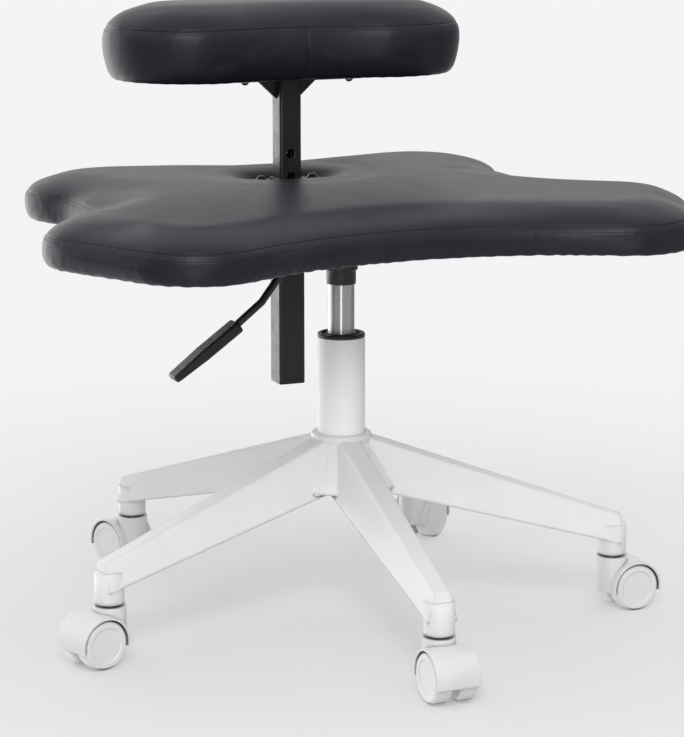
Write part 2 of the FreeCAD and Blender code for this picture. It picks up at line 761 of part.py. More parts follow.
def make_seat_plate():
    keep(turned("taper_socket", ("cylinder_radius", "socket_bottom"),
                ("socket_diameter / 2", "socket_bottom"),
                ("socket_diameter / 2", "socket_bottom + socket_collar"),
                ("socket_rim_diameter / 2", "socket_bottom + socket_collar + sheet_thickness / 2"),
                ("socket_rim_diameter / 2", "tray_bottom"), ("socket_diameter / 2", "tray_bottom"),
                ("socket_diameter / 2", "tray_floor"), ("cylinder_tip_radius", "tray_floor")), "taper_socket")
    body = new_body("seat_plate")
    bolt_hole = "plate_bolt_diameter / 2 + bolt_clearance"
    rim = rounded_rectangle("0", "0", "plate_width", "plate_depth", "plate_corner")
    extrude(body, "sheet_thickness", rim, offset=("0", "0", "plate_bottom"))
    tray = rounded_rectangle("0", "0", "tray_width", "tray_span", "tray_corner")
    tray_inside = rounded_rectangle("0", "0", "tray_width - 2 * sheet_thickness",
                                    "tray_span - 2 * sheet_thickness", "tray_corner - sheet_thickness")
    extrude(body, "board_bottom - tray_bottom", tray, offset=("0", "0", "tray_bottom"))
    extrude(body, "tray_depth", tray_inside, offset=("0", "0", "tray_floor"), cut=True)
    extrude(body, "2 * sheet_thickness", circle("0", "0", "socket_diameter / 2"),
            offset=("0", "0", "tray_bottom"), cut=True)
    extrude(body, "sheet_thickness", *[circle(x, y, bolt_hole) for x, y in plate_corners()],
            offset=("0", "0", "plate_bottom"), cut=True)
    slot_half = "(lever_diameter / 2 + lever_slot_gap)"
    extrude(body, "tray_corner", polygon((f"-{slot_half}", f"lever_height - {slot_half}"),
                                         (slot_half, f"lever_height - {slot_half}"),
                                         (slot_half, "plate_bottom"), (f"-{slot_half}", "plate_bottom")),
            role="YZ_Plane", offset=("0", "0", "-tray_width / 2"), cut=True)
    extrude(body, "2 * tray_span", circle("-lever_pivot", "lever_height", "lever_pin_diameter / 2"),
            role="XZ_Plane", cut=True, both=True)
    keep(body, "seat_plate")
    # Bolts up through the plate into tee nuts on top of the board
    shank = "plate_bolt_diameter / 2"
    bolts = []
    nuts = []
    for x, y in plate_corners():
        bolt = turned("plate_bolt", ("0", "plate_bottom - bolt_head"),
                      ("bolt_head_diameter / 3", "plate_bottom - bolt_head"),
                      ("bolt_head_diameter / 2", "plate_bottom - bolt_head / 2"),
                      ("bolt_head_diameter / 2", "plate_bottom"), (shank, "plate_bottom"),
                      (shank, "board_top"), ("0", "board_top"))
        barrel_low = "board_bottom + sheet_thickness"
        flange_high = "board_top + tee_nut_flange"
        nut = turned("tee_nut", (shank, barrel_low), (f"{shank} + tee_nut_wall", barrel_low),
                     (f"{shank} + tee_nut_wall", "board_top"), ("tee_nut_diameter / 2", "board_top"),
                     ("tee_nut_diameter / 2", flange_high), (shank, flange_high))
        bolts.append(place(bolt, x, y, "0"))
        nuts.append(place(nut, x, y, "0"))
    group("plate_bolts", bolts)
    group("tee_nuts", nuts)


def make_lever():
    pin = new_body("lever_pin")
    extrude(pin, "tray_span", circle("-lever_pivot", "lever_height", "lever_pin_diameter / 2"),
            role="XZ_Plane", both=True)
    keep(pin, "lever_pin")
    rod = new_body("release_lever")
    profile = drawn_sketch(rod, "YZ_Plane", [circle("0", "lever_height", "lever_diameter / 2")],
                           ("0", "0", "lever_end"))
    knee = ("-lever_knee_reach", "lever_height - lever_knee_drop")
    socket = ("-grip_reach", "lever_height - grip_drop")
    line = path(("lever_end", "lever_height"), ("-lever_bend_reach", "lever_height"), knee, socket)
    spine = drawn_sketch(rod, "XZ_Plane", [line], ("0", "0", "0"))
    pipe = rod.newObject("PartDesign::AdditivePipe", "release_lever_pipe")
    pipe.Profile = profile
    pipe.Spine = spine
    pipe.Transition = "Round corner"
    finish_feature(rod, pipe)
    extrude(rod, "2 * lever_diameter",
            circle("-lever_pivot", "lever_height", "lever_pin_diameter / 2 + lever_pin_clearance"),
            role="XZ_Plane", cut=True, both=True)
    keep(rod, "release_lever")
    make_grip()


def make_grip():
    """Flat plastic paddle that takes the rod's end in a socket and thins towards its tip."""
    body = new_body("lever_grip")
    run = "(grip_tip_reach - grip_reach)"
    fall = "(grip_tip_drop - grip_drop)"
    slant = f"sqrt({run}^2 + {fall}^2)"
    half = "grip_thickness / 2"
    tip_half = "grip_tip_thickness / 2"

    def corner(along, across):
        x = f"-grip_reach - {run} * ({along}) / {slant} - {fall} * ({across}) / {slant}"
        z = f"lever_height - grip_drop - {fall} * ({along}) / {slant} + {run} * ({across}) / {slant}"
        return x, z
    extrude(body, "grip_width", polygon(corner("-grip_socket", half), corner("-grip_socket", f"-{half}"),
                                        corner(f"{slant} * 0.45", f"-{half}"),
                                        corner(slant, f"-{tip_half}"), corner(slant, tip_half),
                                        corner(f"{slant} * 0.45", half)),
            role="XZ_Plane", both=True)
    side = value("grip_width") / 2
    round_edges(body, "grip_rounding", lambda edge: max(abs(v.Point.y) for v in edge.Vertexes) > side - 0.01)
    knee_run = "(grip_reach - lever_knee_reach)"
    knee_fall = "(grip_drop - lever_knee_drop)"
    knee_slant = f"sqrt({knee_run}^2 + {knee_fall}^2)"
    bore = doc.addObject("Part::Cylinder", "grip_bore")
    bind(bore, "Radius", "lever_diameter / 2")
    bind(bore, "Height", "2 * grip_socket")
    place(bore, f"-grip_reach + {knee_run} * 2 * grip_socket / {knee_slant}", "0",
          f"lever_height - grip_drop + {knee_fall} * 2 * grip_socket / {knee_slant}")
    bore.Placement.Rotation = FreeCAD.Rotation(FreeCAD.Vector(0, 1, 0), 0)
    bind(bore, ".Placement.Rotation.Angle", f"180 deg + atan({knee_run} / {knee_fall})")
    grip = doc.addObject("Part::Cut", "lever_grip_bored")
    grip.Base = body
    grip.Tool = bore
    doc.recompute()
    body.Label = "lever_grip_blank"
    keep(grip, "lever_grip")


# Lower seat: its outline is a chain of arcs, each tangent to the next

def unit(vector):
    return vector / vector.Length


def meeting_point(convex, radius, hollow, hollow_radius, height):
    """Where a bulging arc passes into a hollow one, on the line between their centres."""
    spot = convex + (hollow - convex) * (radius / (radius + hollow_radius))
    return FreeCAD.Vector(spot.x, spot.y, height)


def arc_through(centre, start, end, outward):
    """Arc from start to end about a centre, bulging to the side that outward points to."""
    radius = (start - centre).Length
    middle = centre + unit(outward) * radius
    return Part.Arc(start, middle, end).toShape()


def mirrored(point):
    return FreeCAD.Vector(-point.x, point.y, point.z)


def seat_outline(inset, height):
    """Closed four-lobed outline at a height, drawn in from the widest one by an inset."""
    def centre(name):
        return FreeCAD.Vector(value(f"{name}_x"), value(f"{name}_y"), height)
    front, side, rear = centre("front_lobe"), centre("side_lobe"), centre("rear_lobe")
    front_r, side_r, rear_r = (value(f"{name}_lobe_radius") for name in ("front", "side", "rear"))
    waist_r, notch_r, back_r = (value(name) for name in
                                ("front_waist_radius", "side_notch_radius", "rear_waist_radius"))
    waist = FreeCAD.Vector(0, front.y - math.sqrt((waist_r + front_r) ** 2 - front.x ** 2), height)
    back = FreeCAD.Vector(0, rear.y + math.sqrt((back_r + rear_r) ** 2 - rear.x ** 2), height)
    between = rear - side
    reach, other = side_r + notch_r, rear_r + notch_r
    along = (reach ** 2 - other ** 2 + between.Length ** 2) / (2 * between.Length)
    across = math.sqrt(reach ** 2 - along ** 2)
    outward = FreeCAD.Vector(between.y, -between.x, 0)
    notch = side + unit(between) * along + unit(outward) * across
    waist_end = meeting_point(front, front_r - inset, waist, waist_r + inset, height)
    notch_start = meeting_point(side, side_r - inset, notch, notch_r + inset, height)
    notch_end = meeting_point(rear, rear_r - inset, notch, notch_r + inset, height)
    back_start = meeting_point(rear, rear_r - inset, back, back_r + inset, height)
    # Straight run between the front and side lobes, tangent to both
    step = side - front
    lean = math.asin((front_r - side_r) / step.Length)
    normal = FreeCAD.Rotation(FreeCAD.Vector(0, 0, 1), -90 + math.degrees(lean)).multVec(unit(step))
    run_start = front + normal * (front_r - inset)
    run_end = side + normal * (side_r - inset)

    def chord_side(hub, start, end):
        return (start + end) / 2 - hub
    half = [
        (front, waist_end, run_start),
        (None, run_start, run_end),
        (side, run_end, notch_start),
        (notch, notch_start, notch_end),
        (rear, notch_end, back_start),
    ]
    edges = [arc_through(back, back_start, mirrored(back_start), FreeCAD.Vector(0, -1, 0))]
    right = []
    left = []
    for hub, start, end in half:
        if hub is None:
            right.append(Part.LineSegment(start, end).toShape())
            left.append(Part.LineSegment(mirrored(end), mirrored(start)).toShape())
        else:
            outward = chord_side(hub, start, end)
            right.append(arc_through(hub, start, end, outward))
            left.append(arc_through(mirrored(hub), mirrored(end), mirrored(start),
                                    FreeCAD.Vector(-outward.x, outward.y, 0)))
    edges = right + edges + left[::-1]
    edges.append(arc_through(waist, mirrored(waist_end), waist_end, FreeCAD.Vector(0, 1, 0)))
    return Part.Wire(edges)


def slab(outline, low, high):
    """Flat board between two heights on an outline drawn at the lower one."""
    return Part.Face(outline).extrude(FreeCAD.Vector(0, 0, high - low))


# How a crown comes in from its seam: share of the run inward, share of the rise upward
CROWN_SHARES = ((0.1, 0.42), (0.36, 0.77), (0.66, 0.94), (1, 1))


# How the dish opens from its floor: share of its run outward, share of its depth upward
DISH_SHARES = ((0, 0), (0.2, 0.42), (0.5, 0.76), (1, 0.97), (1.6, 1.06))


def smooth_loft(sections):
    """Closed solid through outlines, of a degree low enough to keep to them."""
    degree = 3
    return Part.makeLoft(sections, True, False, False, degree)


def soft_piece(label, shape):
    item = doc.addObject("Part::Feature", label)
    item.Shape = shape
    item.Placement = FreeCAD.Placement()
    return keep(item, label)


def upright(x, y, radius, low, high):
    return Part.makeCylinder(radius, high - low, FreeCAD.Vector(x, y, low))


def square_block(x, y, width, low, high):
    corner = FreeCAD.Vector(x - width / 2, y - width / 2, low)
    return Part.makeBox(width, width, high - low, corner)


def stadium(y, width, depth, height):
    """Oblong with round ends, across the seat."""
    radius = depth / 2
    reach = width / 2 - radius
    def at(x, offset):
        return FreeCAD.Vector(x, y + offset, height)
    edges = [Part.LineSegment(at(-reach, -radius), at(reach, -radius)).toShape(),
             Part.Arc(at(reach, -radius), at(reach + radius * math.sqrt(0.5), -radius * math.sqrt(0.5)),
                      at(reach + radius, 0)).toShape(),
             Part.Arc(at(reach + radius, 0), at(reach + radius * math.sqrt(0.5), radius * math.sqrt(0.5)),
                      at(reach, radius)).toShape(),
             Part.LineSegment(at(reach, radius), at(-reach, radius)).toShape(),
             Part.Arc(at(-reach, radius), at(-reach - radius * math.sqrt(0.5), radius * math.sqrt(0.5)),
                      at(-reach - radius, 0)).toShape(),
             Part.Arc(at(-reach - radius, 0), at(-reach - radius * math.sqrt(0.5), -radius * math.sqrt(0.5)),
                      at(-reach, -radius)).toShape()]
    return Part.Wire(edges)


def make_lower_seat():
    low, top = value("board_bottom"), value("board_top")
    bottom, seam, crown = value("cushion_bottom"), value("seat_seam"), value("seat_crown")
    band, rise, run = value("band_height"), value("crown_height"), value("crown_run")
    tuck, swell, cover = value("band_tuck"), value("band_swell"), value("cover_thickness")
    post_y, gap = value("post_offset"), value("sleeve_gap")
    hole = value("sleeve_width") + 2 * gap
    bolt_x = value("flange_bolt_spacing") / 2
    bolt_hole = value("flange_bolt_diameter / 2 + bolt_clearance")
    nut_hole = value("plate_bolt_diameter / 2 + tee_nut_wall")
    board = slab(seat_outline(tuck + cover, low), low, top)
    for x, y in plate_corners():
        board = board.cut(upright(value(x), value(y), nut_hole, low, top))
    for side in (-1, 1):
        board = board.cut(upright(side * bolt_x, post_y, bolt_hole, low, top))
    board = board.cut(square_block(0, post_y, hole, low, top))
    soft_piece("seat_board", board)
    # Cushion: a full band, tucked under below and drawn in to the seam, then a crown that flattens inward
    sections = [seat_outline(tuck, bottom), seat_outline(swell, bottom + band / 5),
                seat_outline(0, bottom + band / 2), seat_outline(swell, seam)]
    for inward, upward in CROWN_SHARES:
        sections.append(seat_outline(swell + run * inward, seam + rise * upward))
    cushion = smooth_loft(sections)
    cushion = cushion.cut(slab(seat_outline(tuck + cover, bottom), bottom, top))
    for x, y in plate_corners():
        cushion = cushion.cut(upright(value(x), value(y), value("tee_nut_diameter / 2"), top,
                                      value("board_top + tee_nut_flange")))
    # Dish round the post, pressed in by the flange plate
    floor = value("flange_bottom")
    spread = value("dish_run")
    room = 2 * value("flange_gap")
    width, depth = value("flange_width") + room, value("flange_depth") + room
    depth_left = crown - floor
    dish_sections = []
    for widening, share in DISH_SHARES:
        more = 2 * spread * widening
        dish_sections.append(stadium(post_y, width + more, depth + more, floor + depth_left * share))
    dish = smooth_loft(dish_sections)
    cushion = cushion.cut(dish)
    cushion = cushion.cut(square_block(0, post_y, hole, top, floor))
    for side in (-1, 1):
        cushion = cushion.cut(upright(side * bolt_x, post_y, bolt_hole, top, floor))
    soft_piece("seat_cushion", cushion)


# Post, its sleeve and the height lock

def square_tube(label, width, bore, corner, low, length):
    body = new_body(label)
    extrude(body, length, rounded_rectangle("0", "post_offset", width, width, corner),
            rounded_rectangle("0", "post_offset", bore, bore, f"{corner} / 2"), offset=("0", "0", low))
    return body


def along_back(distance):
    """Sketch offset on the XZ plane that puts it at a distance behind the column, at the lock's height."""
    return "0", "lock_height", f"-({distance})"


def make_post():
    lock_hole = "lock_screw_diameter / 2 + bolt_clearance"
    sleeve = square_tube("post_sleeve", "sleeve_width", "sleeve_bore", "sleeve_corner", "sleeve_bottom",
                         "sleeve_length")
    extrude(sleeve, "sleeve_width / 2", circle("0", "0", lock_hole), role="XZ_Plane",
            offset=along_back("sleeve_back"), cut=True)
    keep(sleeve, "post_sleeve")
    flange = new_body("sleeve_flange")
    bolts_at = [f"{side}flange_bolt_spacing / 2" for side in ("", "-")]
    bolt_hole = "flange_bolt_diameter / 2 + bolt_clearance"
    extrude(flange, "flange_thickness",
            rounded_rectangle("0", "post_offset", "flange_width", "flange_depth", "flange_corner"),
            rounded_rectangle("0", "post_offset", "sleeve_width", "sleeve_width", "sleeve_corner"),
            *[circle(x, "post_offset", bolt_hole) for x in bolts_at], offset=("0", "0", "flange_bottom"))
    keep(flange, "sleeve_flange")
    bolts = []
    nuts = []
    shank = "flange_bolt_diameter / 2"
    nut_bottom = "board_bottom - flange_nut_height"
    for x in bolts_at:
        bolt = turned("flange_bolt", ("0", f"{nut_bottom} - flange_bolt_end"),
                      (shank, f"{nut_bottom} - flange_bolt_end"), (shank, "flange_top"),
                      ("flange_bolt_head_diameter / 2", "flange_top"),
                      ("flange_bolt_head_diameter / 2", "flange_top + flange_bolt_head / 3"),
                      ("flange_bolt_head_diameter / 4", "flange_top + flange_bolt_head"),
                      ("0", "flange_top + flange_bolt_head"))
        bolts.append(place(bolt, x, "post_offset", "0"))
        nut = hex_nut("flange_nut", "flange_nut_width", shank, "flange_nut_height")
        nuts.append(place(nut, x, "post_offset", nut_bottom))
    group("flange_bolts", bolts)
    group("flange_nuts", nuts)
    post_bore = "post_width - 2 * post_wall"
    post = square_tube("perch_post", "post_width", post_bore, "sleeve_corner", "post_bottom", "post_length")
    hole_count = 6
    top_hole = "post_bottom + post_hole_height"
    holes = [circle("0", f"{top_hole} - {index} * post_hole_pitch", "post_hole_diameter / 2")
             for index in range(hole_count)]
    extrude(post, "2 * post_width", *holes, role="XZ_Plane", offset=("0", "0", "-post_offset"),
            cut=True, both=True)
    keep(post, "perch_post")
    plug = new_body("post_plug")
    lip = rounded_rectangle("0", "post_offset", "post_width", "post_width", "sleeve_corner")
    shaft = rounded_rectangle("0", "post_offset", post_bore, post_bore, "sleeve_corner / 2")
    extrude(plug, "plug_lip", lip, offset=("0", "0", "post_bottom - plug_lip"))
    extrude(plug, "plug_height", shaft, offset=("0", "0", "post_bottom"))
    keep(plug, "post_plug")


def hex_nut(label, width, bore, height):
    """Hexagon nut on XY, its flats square to Y."""
    body = new_body(label)
    corners = [(f"{width} / sqrt(3) * cos({60 * index})", f"{width} / sqrt(3) * sin({60 * index})")
               for index in range(6)]
    corners[0] = (f"{width} / sqrt(3)", "0")
    corners[3] = (f"-{width} / sqrt(3)", "0")
    extrude(body, height, polygon(*corners), circle("0", "0", bore))
    return body


def make_lock():
    """Weld nut on the sleeve's back, and the clamp screw with its knob."""
    nut = new_body("lock_nut")
    thread = "lock_screw_diameter / 2 + lock_screw_clearance"
    extrude(nut, "lock_nut_height", circle("0", "0", "lock_nut_width / 2"), circle("0", "0", thread),
            role="XZ_Plane", offset=along_back("lock_nut_back"))
    keep(nut, "lock_nut")
    screw = new_body("lock_screw")
    screw_end = "lock_knob_back - lock_knob_depth / 3"
    shank = circle("0", "0", "lock_screw_diameter / 2")
    extrude(screw, f"{screw_end} - lock_tip", shank, role="XZ_Plane", offset=along_back(screw_end))
    keep(screw, "lock_screw")
    knob = new_body("lock_knob")
    blank = extrude(knob, "lock_knob_depth", circle("0", "0", "lock_knob_diameter / 2"), role="XZ_Plane",
                    offset=along_back("lock_knob_back"))
    notch = circle("lock_knob_diameter / 2 + lock_knob_scallop / 4", "0", "lock_knob_scallop / 2")
    scallop = extrude(knob, "lock_knob_depth", notch, role="XZ_Plane",
                      offset=along_back("lock_knob_back"), cut=True)
    scallop_count = 6
    repeat_around(knob, [scallop], (blank.Profile[0], ["N_Axis"]), scallop_count)
    extrude(knob, f"{screw_end} - lock_knob_front", shank, role="XZ_Plane",
            offset=along_back(screw_end), cut=True)
    keep(knob, "lock_knob")


# Perch

def perch_corners():
    return [(f"{x}perch_screw_spacing_x / 2", f"post_offset + {y}perch_screw_spacing_y / 2")
            for x in ("", "-") for y in ("", "-")]


def perch_outline(inset, height):
    """Closed bean outline at a height: two round ends, a straight back and a hollow front."""
    end = FreeCAD.Vector(value("pad_end_x"), value("pad_end_y"), height)
    end_r, waist_r = value("pad_end_radius"), value("pad_waist_radius")
    waist = FreeCAD.Vector(0, end.y - math.sqrt((end_r + waist_r) ** 2 - end.x ** 2), height)
    waist_end = meeting_point(end, end_r - inset, waist, waist_r + inset, height)
    outer = end + FreeCAD.Vector(end_r - inset, 0, 0)
    back = end + FreeCAD.Vector(0, end_r - inset, 0)
    edges = [arc_through(end, waist_end, outer, (waist_end + outer) / 2 - end),
             arc_through(end, outer, back, (outer + back) / 2 - end),
             Part.LineSegment(back, mirrored(back)).toShape(),
             arc_through(mirrored(end), mirrored(back), mirrored(outer), mirrored((outer + back) / 2 - end)),
             arc_through(mirrored(end), mirrored(outer), mirrored(waist_end),
                         mirrored((waist_end + outer) / 2 - end)),
             arc_through(waist, mirrored(waist_end), waist_end, FreeCAD.Vector(0, 1, 0))]
    return Part.Wire(edges)


def make_perch():
    plate = new_body("perch_plate")
    screw_hole = "perch_screw_diameter / 2 + bolt_clearance"
    rim = rounded_rectangle("0", "post_offset", "perch_plate_width", "perch_plate_depth",
                            "perch_plate_corner")
    holes = [circle(x, y, screw_hole) for x, y in perch_corners()]
    extrude(plate, "perch_plate_thickness", rim, *holes, offset=("0", "0", "post_top"))
    keep(plate, "perch_plate")
    gussets = []
    for side in ("", "-"):
        gusset = new_body("gusset")
        inner = f"{side}(post_width / 2)"
        outer = f"{side}(post_width / 2 + gusset_width)"
        web = polygon((inner, "post_top"), (outer, "post_top"), (inner, "post_top - gusset_height"))
        extrude(gusset, "gusset_thickness", web, role="XZ_Plane", offset=("0", "0", "-post_offset"),
                both=True)
        gussets.append(gusset)
    group("perch_gussets", gussets)
    shank = "perch_screw_diameter / 2"
    screw_tip = "post_top + perch_screw_length"
    screws = []
    for x, y in perch_corners():
        screw = turned("perch_screw", ("0", "post_top - bolt_head"), (shank, "post_top - bolt_head"),
                       ("perch_screw_diameter", "post_top - bolt_head / 3"),
                       ("perch_screw_diameter", "post_top"), (shank, "post_top"),
                       (shank, f"{screw_tip} - perch_screw_diameter / 2"), ("0", screw_tip))
        screws.append(place(screw, x, y, "0"))
    group("perch_screws", screws)
    low, top = value("perch_plate_top"), value("perch_board_top")
    cover = value("perch_cover_thickness + pad_tuck")
    board = slab(perch_outline(cover, low), low, top)
    for x, y in perch_corners():
        board = board.cut(upright(value(x), value(y), value(shank), low, value(screw_tip)))
    soft_piece("perch_board", board)
    bottom, seam = value("pad_bottom"), value("pad_seam")
    band, rise, run = value("pad_band_height"), value("pad_crown_height"), value("pad_crown_run")
    tuck, swell = value("pad_tuck"), value("pad_swell")
    sections = [perch_outline(tuck, bottom), perch_outline(tuck / 4, bottom + band / 5),
                perch_outline(0, bottom + band / 2), perch_outline(swell, seam)]
    for inward, upward in CROWN_SHARES:
        sections.append(perch_outline(swell + run * inward, seam + rise * upward))
    cushion = smooth_loft(sections)
    cushion = cushion.cut(slab(perch_outline(cover, bottom), bottom, top))
    soft_piece("perch_cushion", cushion)


make_star_base()
make_casters()
make_gas_lift()
make_seat_plate()
make_lever()
make_lower_seat()
make_post()
make_lock()
make_perch()
doc.recompute()

# Every object has to be sound before anything is written
for item in doc.Objects:
    if "Invalid" in item.State or "Error" in item.State:
        raise RuntimeError(f"{item.Label} failed: {item.State}")
for node in nodes:
    if node.Shape.isNull() or not node.Shape.isValid() or not node.Shape.Solids:
        raise RuntimeError(f"{node.Label} has no sound solid")

os.makedirs("parts", exist_ok=True)
for node in nodes:
    node.Shape.exportStep(os.path.join("parts", f"{node.Label}.step"))
print(f"{len(nodes)} pieces written")
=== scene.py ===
import json
import math

import bmesh
import bpy
import numpy as np
from mathutils import Matrix, Vector
from mathutils.kdtree import KDTree


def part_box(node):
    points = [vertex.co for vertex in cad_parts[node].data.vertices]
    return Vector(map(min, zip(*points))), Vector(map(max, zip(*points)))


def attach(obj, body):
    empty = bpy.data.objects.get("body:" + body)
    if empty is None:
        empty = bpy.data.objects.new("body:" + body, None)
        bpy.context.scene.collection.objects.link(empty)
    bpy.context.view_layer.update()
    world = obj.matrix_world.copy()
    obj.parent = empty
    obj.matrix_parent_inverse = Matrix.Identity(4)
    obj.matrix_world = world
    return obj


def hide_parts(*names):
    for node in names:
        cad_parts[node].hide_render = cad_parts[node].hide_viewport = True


# Cross-legged office chair, in metres: +Z up, +Y behind the sitter, +X on the sitter's left.

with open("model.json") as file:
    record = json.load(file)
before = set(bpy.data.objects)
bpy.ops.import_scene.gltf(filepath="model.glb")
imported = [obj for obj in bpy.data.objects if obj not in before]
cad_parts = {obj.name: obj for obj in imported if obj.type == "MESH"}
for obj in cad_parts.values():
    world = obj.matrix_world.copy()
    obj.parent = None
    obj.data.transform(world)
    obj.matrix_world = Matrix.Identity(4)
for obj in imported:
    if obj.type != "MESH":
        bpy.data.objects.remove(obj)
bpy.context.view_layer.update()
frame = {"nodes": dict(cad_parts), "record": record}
nodes = frame["nodes"]
scene = bpy.context.scene

# Sockets of a Mix node that mixes colours
MIX_FROM, MIX_TO, MIX_RESULT = 6, 7, 2

# White mouldings: painted shade in their narrow gaps and inner corners, the tone they darken to where little
# light reaches
GAP_SHADE = (0.07, 0.07, 0.07, 1)

# Leather and its sewing
LEATHER_DARK = (0.0100, 0.0090, 0.0165)
LEATHER_LIGHT = (0.0135, 0.0125, 0.0205)
LEATHER_IOR = 1.33
# The seam's dark tone, also laid on the hem's fold line as painted shade of its crease
SEAM_TONE_AND_FOLD_SHADE = (0.003, 0.003, 0.004, 1)
SEAM_WIDTH = 0.0011
SEAM_RELIEF = 0.00045
HEM_DEPTH = 0.0065  # of the hem's fold below the seam
HEM_STRENGTH = 0.35
STITCH_DROP = 0.0035  # of the stitches below the seam
STITCH_PITCH = 0.0055
STITCH_LENGTH = 0.0036
STITCH_RADIUS = 0.00042

# Cushions: their skin, how it swells, and where it is held or smoothed
SKIN_VOXEL = 0.005
SWELL_PRESSURE = 4.0
SWELL_CAP = 0.003
SWELL_FRAMES = 20
HELD_HEIGHT = 0.010
CROWN_CLEAR = 0.004
DISH_REACH = 0.095
RELAX_ROUNDS = 5
CROWN_ROUNDS = 30
SEAT_SEAM = 28 / 44  # height of the seam, as a share of the cushion's thickness
PERCH_SEAM = 54 / 77
FRONT_SEAM_X = -0.002
FRONT_SEAM_FOOT = 0.004
NOTCH_MIDDLE = 0.088
NOTCH_FILL = 0.013
NOTCH_REACH = 0.05
NOTCH_RIM = 0.045
FLAP_WIDTH = 0.03
FLAP_LIFT = 0.006

# Dust covers and their staples
COVER_INSET = 0.022
COVER_DROP = 0.0006
COVER_THICKNESS = 0.0004
STAPLE_INSET = 0.028
STAPLE_DROP = 0.0009
STAPLE_SPACING = 0.024
STAPLE_TURN = 0.25
STAPLE_SIZE = (0.010, 0.0011, 0.0006)
SLEEVE_CLEARANCE = 0.001

# Painted shade of the hex sockets in the flange bolts: thin dark discs on the heads, in place of recesses
BOLT_HEAD = 0.013
SOCKET_SHADE_RADIUS = 0.0024
SOCKET_SHADE_THICKNESS = 0.0006

# Rounding of sharp CAD edges, by material slot
EDGE_WIDTHS = {
    "nylon_white": 0.0012,
    "caster_white": 0.0006,
    "painted_white": 0.0005,
    "black_steel": 0.0006,
    "black_plastic": 0.0004,
    "wheel_white": 0.0005,
}
EDGE_ANGLE = math.radians(40)
WELD_REACH = 0.00002

# Camera, fitted to the photograph
VIEW_TURN = math.radians(22.962)
VIEW_TILT = math.radians(78.104)
CAMERA_PLACE = (-0.98275, -2.32156, 0.79406)
CAMERA_LENS = 119.674
CAMERA_SENSOR = 36

# Floor, which clears from its middle outwards
FLOOR_RADIUS = 9.0
FLOOR_DARK = (0.67, 0.67, 0.685)
FLOOR_LIGHT = (0.70, 0.70, 0.715)
FLOOR_MIDDLE = (-0.156, -0.368, 0)
FLOOR_CLEAR = 0.35
FLOOR_FADE = (0.2, 2.0)

# Studio: its tone to the camera, its ceiling and the heights (as sines) between which the ceiling takes over
BACKGROUND = (0.905, 0.9, 0.925, 1)
CEILING = (0.95, 0.95, 0.95, 1)
CEILING_HEIGHTS = (0.12, 0.55)
LAMP_GLOSS = 0.15
# Brightness round the chair, by turns: 0 is behind it as the camera sees it, 0.25 is left and 0.5 is in front
STUDIO = (
    (0.0, 1.0), (0.05, 1.4), (0.09, 3.1), (0.15, 3.1), (0.21, 1.3), (0.255, 1.1),
    (0.265, 0.12), (0.29, 0.3), (0.45, 0.4), (0.478, 0.4), (0.486, 3.0), (0.512, 3.0),
    (0.52, 0.4), (0.74, 0.5), (0.79, 0.25), (0.90, 0.3), (0.95, 0.8), (1.0, 1.0),
)


# Materials

def put(tree, socket, value):
    """Link a socket to another one, or set its own value."""
    if isinstance(value, bpy.types.NodeSocket):
        tree.links.new(value, socket)
    else:
        socket.default_value = value


def add(tree, kind, inputs=None, **settings):
    """A new shader node of a kind, with its inputs and settings."""
    made = tree.nodes.new("ShaderNode" + kind)
    for name, value in settings.items():
        setattr(made, name, value)
    for name, value in (inputs or {}).items():
        put(tree, made.inputs[name], value)
    return made


def new_material(name):
    material = bpy.data.materials.new(name)
    material.use_nodes = True
    tree = material.node_tree
    return material, tree, tree.nodes["Principled BSDF"]


def place_in(tree, stretch=(1, 1, 1)):
    """Position on the piece, in metres, stretched along its axes."""
    where = add(tree, "TexCoord").outputs["Object"]
    return add(tree, "Mapping", {"Vector": where, "Scale": stretch}).outputs["Vector"]


def noise(tree, where, size, detail=4.0, distortion=0.0):
    """Cloudy values from 0 to 1 with features of about a size in metres."""
    inputs = {"Vector": where, "Scale": 1 / size, "Detail": detail, "Distortion": distortion}
    return add(tree, "TexNoise", inputs).outputs["Fac"]


def cells(tree, where, size):
    """Distance inside cells of about a size in metres."""
    return add(tree, "TexVoronoi", {"Vector": where, "Scale": 1 / size}).outputs["Distance"]


def tones(tree, value, dark, light, low=0.3, high=0.7):
    """Colour between two tones as a value goes from low to high."""
    ramp = add(tree, "ValToRGB", {"Fac": value})
    for element, place, colour in zip(ramp.color_ramp.elements, (low, high), (dark, light)):
        element.position = place
        element.color = (*colour, 1)
    return ramp.outputs["Color"]


def mixed(tree, share, start, end):
    """Colour that goes from one to another with a share from 0 to 1."""
    inputs = {"Factor": share, MIX_FROM: start, MIX_TO: end}
    return add(tree, "Mix", inputs, data_type="RGBA").outputs[MIX_RESULT]


def combined(tree, operation, first, second):
    return add(tree, "Math", {0: first, 1: second}, operation=operation).outputs["Value"]


def span(tree, value, to_min, to_max, low=0.3, high=0.7):
    """Number between two others as a value goes from low to high."""
    inputs = {"Value": value, "From Min": low, "From Max": high, "To Min": to_min, "To Max": to_max}
    return add(tree, "MapRange", inputs).outputs["Result"]


def bump(tree, height, depth, normal=None):
    """Relief of a depth in metres, on top of another relief if one is given."""
    inputs = {"Height": height, "Distance": depth, "Strength": 1.0}
    if normal:
        inputs["Normal"] = normal
    return add(tree, "Bump", inputs).outputs["Normal"]


def edge_share(tree, radius):
    """About 1 on sharp edges and 0 on faces, from how far a rounded normal leans."""
    rounded = add(tree, "Bevel", {"Radius": radius}, samples=4).outputs["Normal"]
    plain = add(tree, "NewGeometry").outputs["Normal"]
    inputs = {0: rounded, 1: plain}
    lean = add(tree, "VectorMath", inputs, operation="DOT_PRODUCT").outputs["Value"]
    return span(tree, lean, 1, 0, 0.75, 0.99)


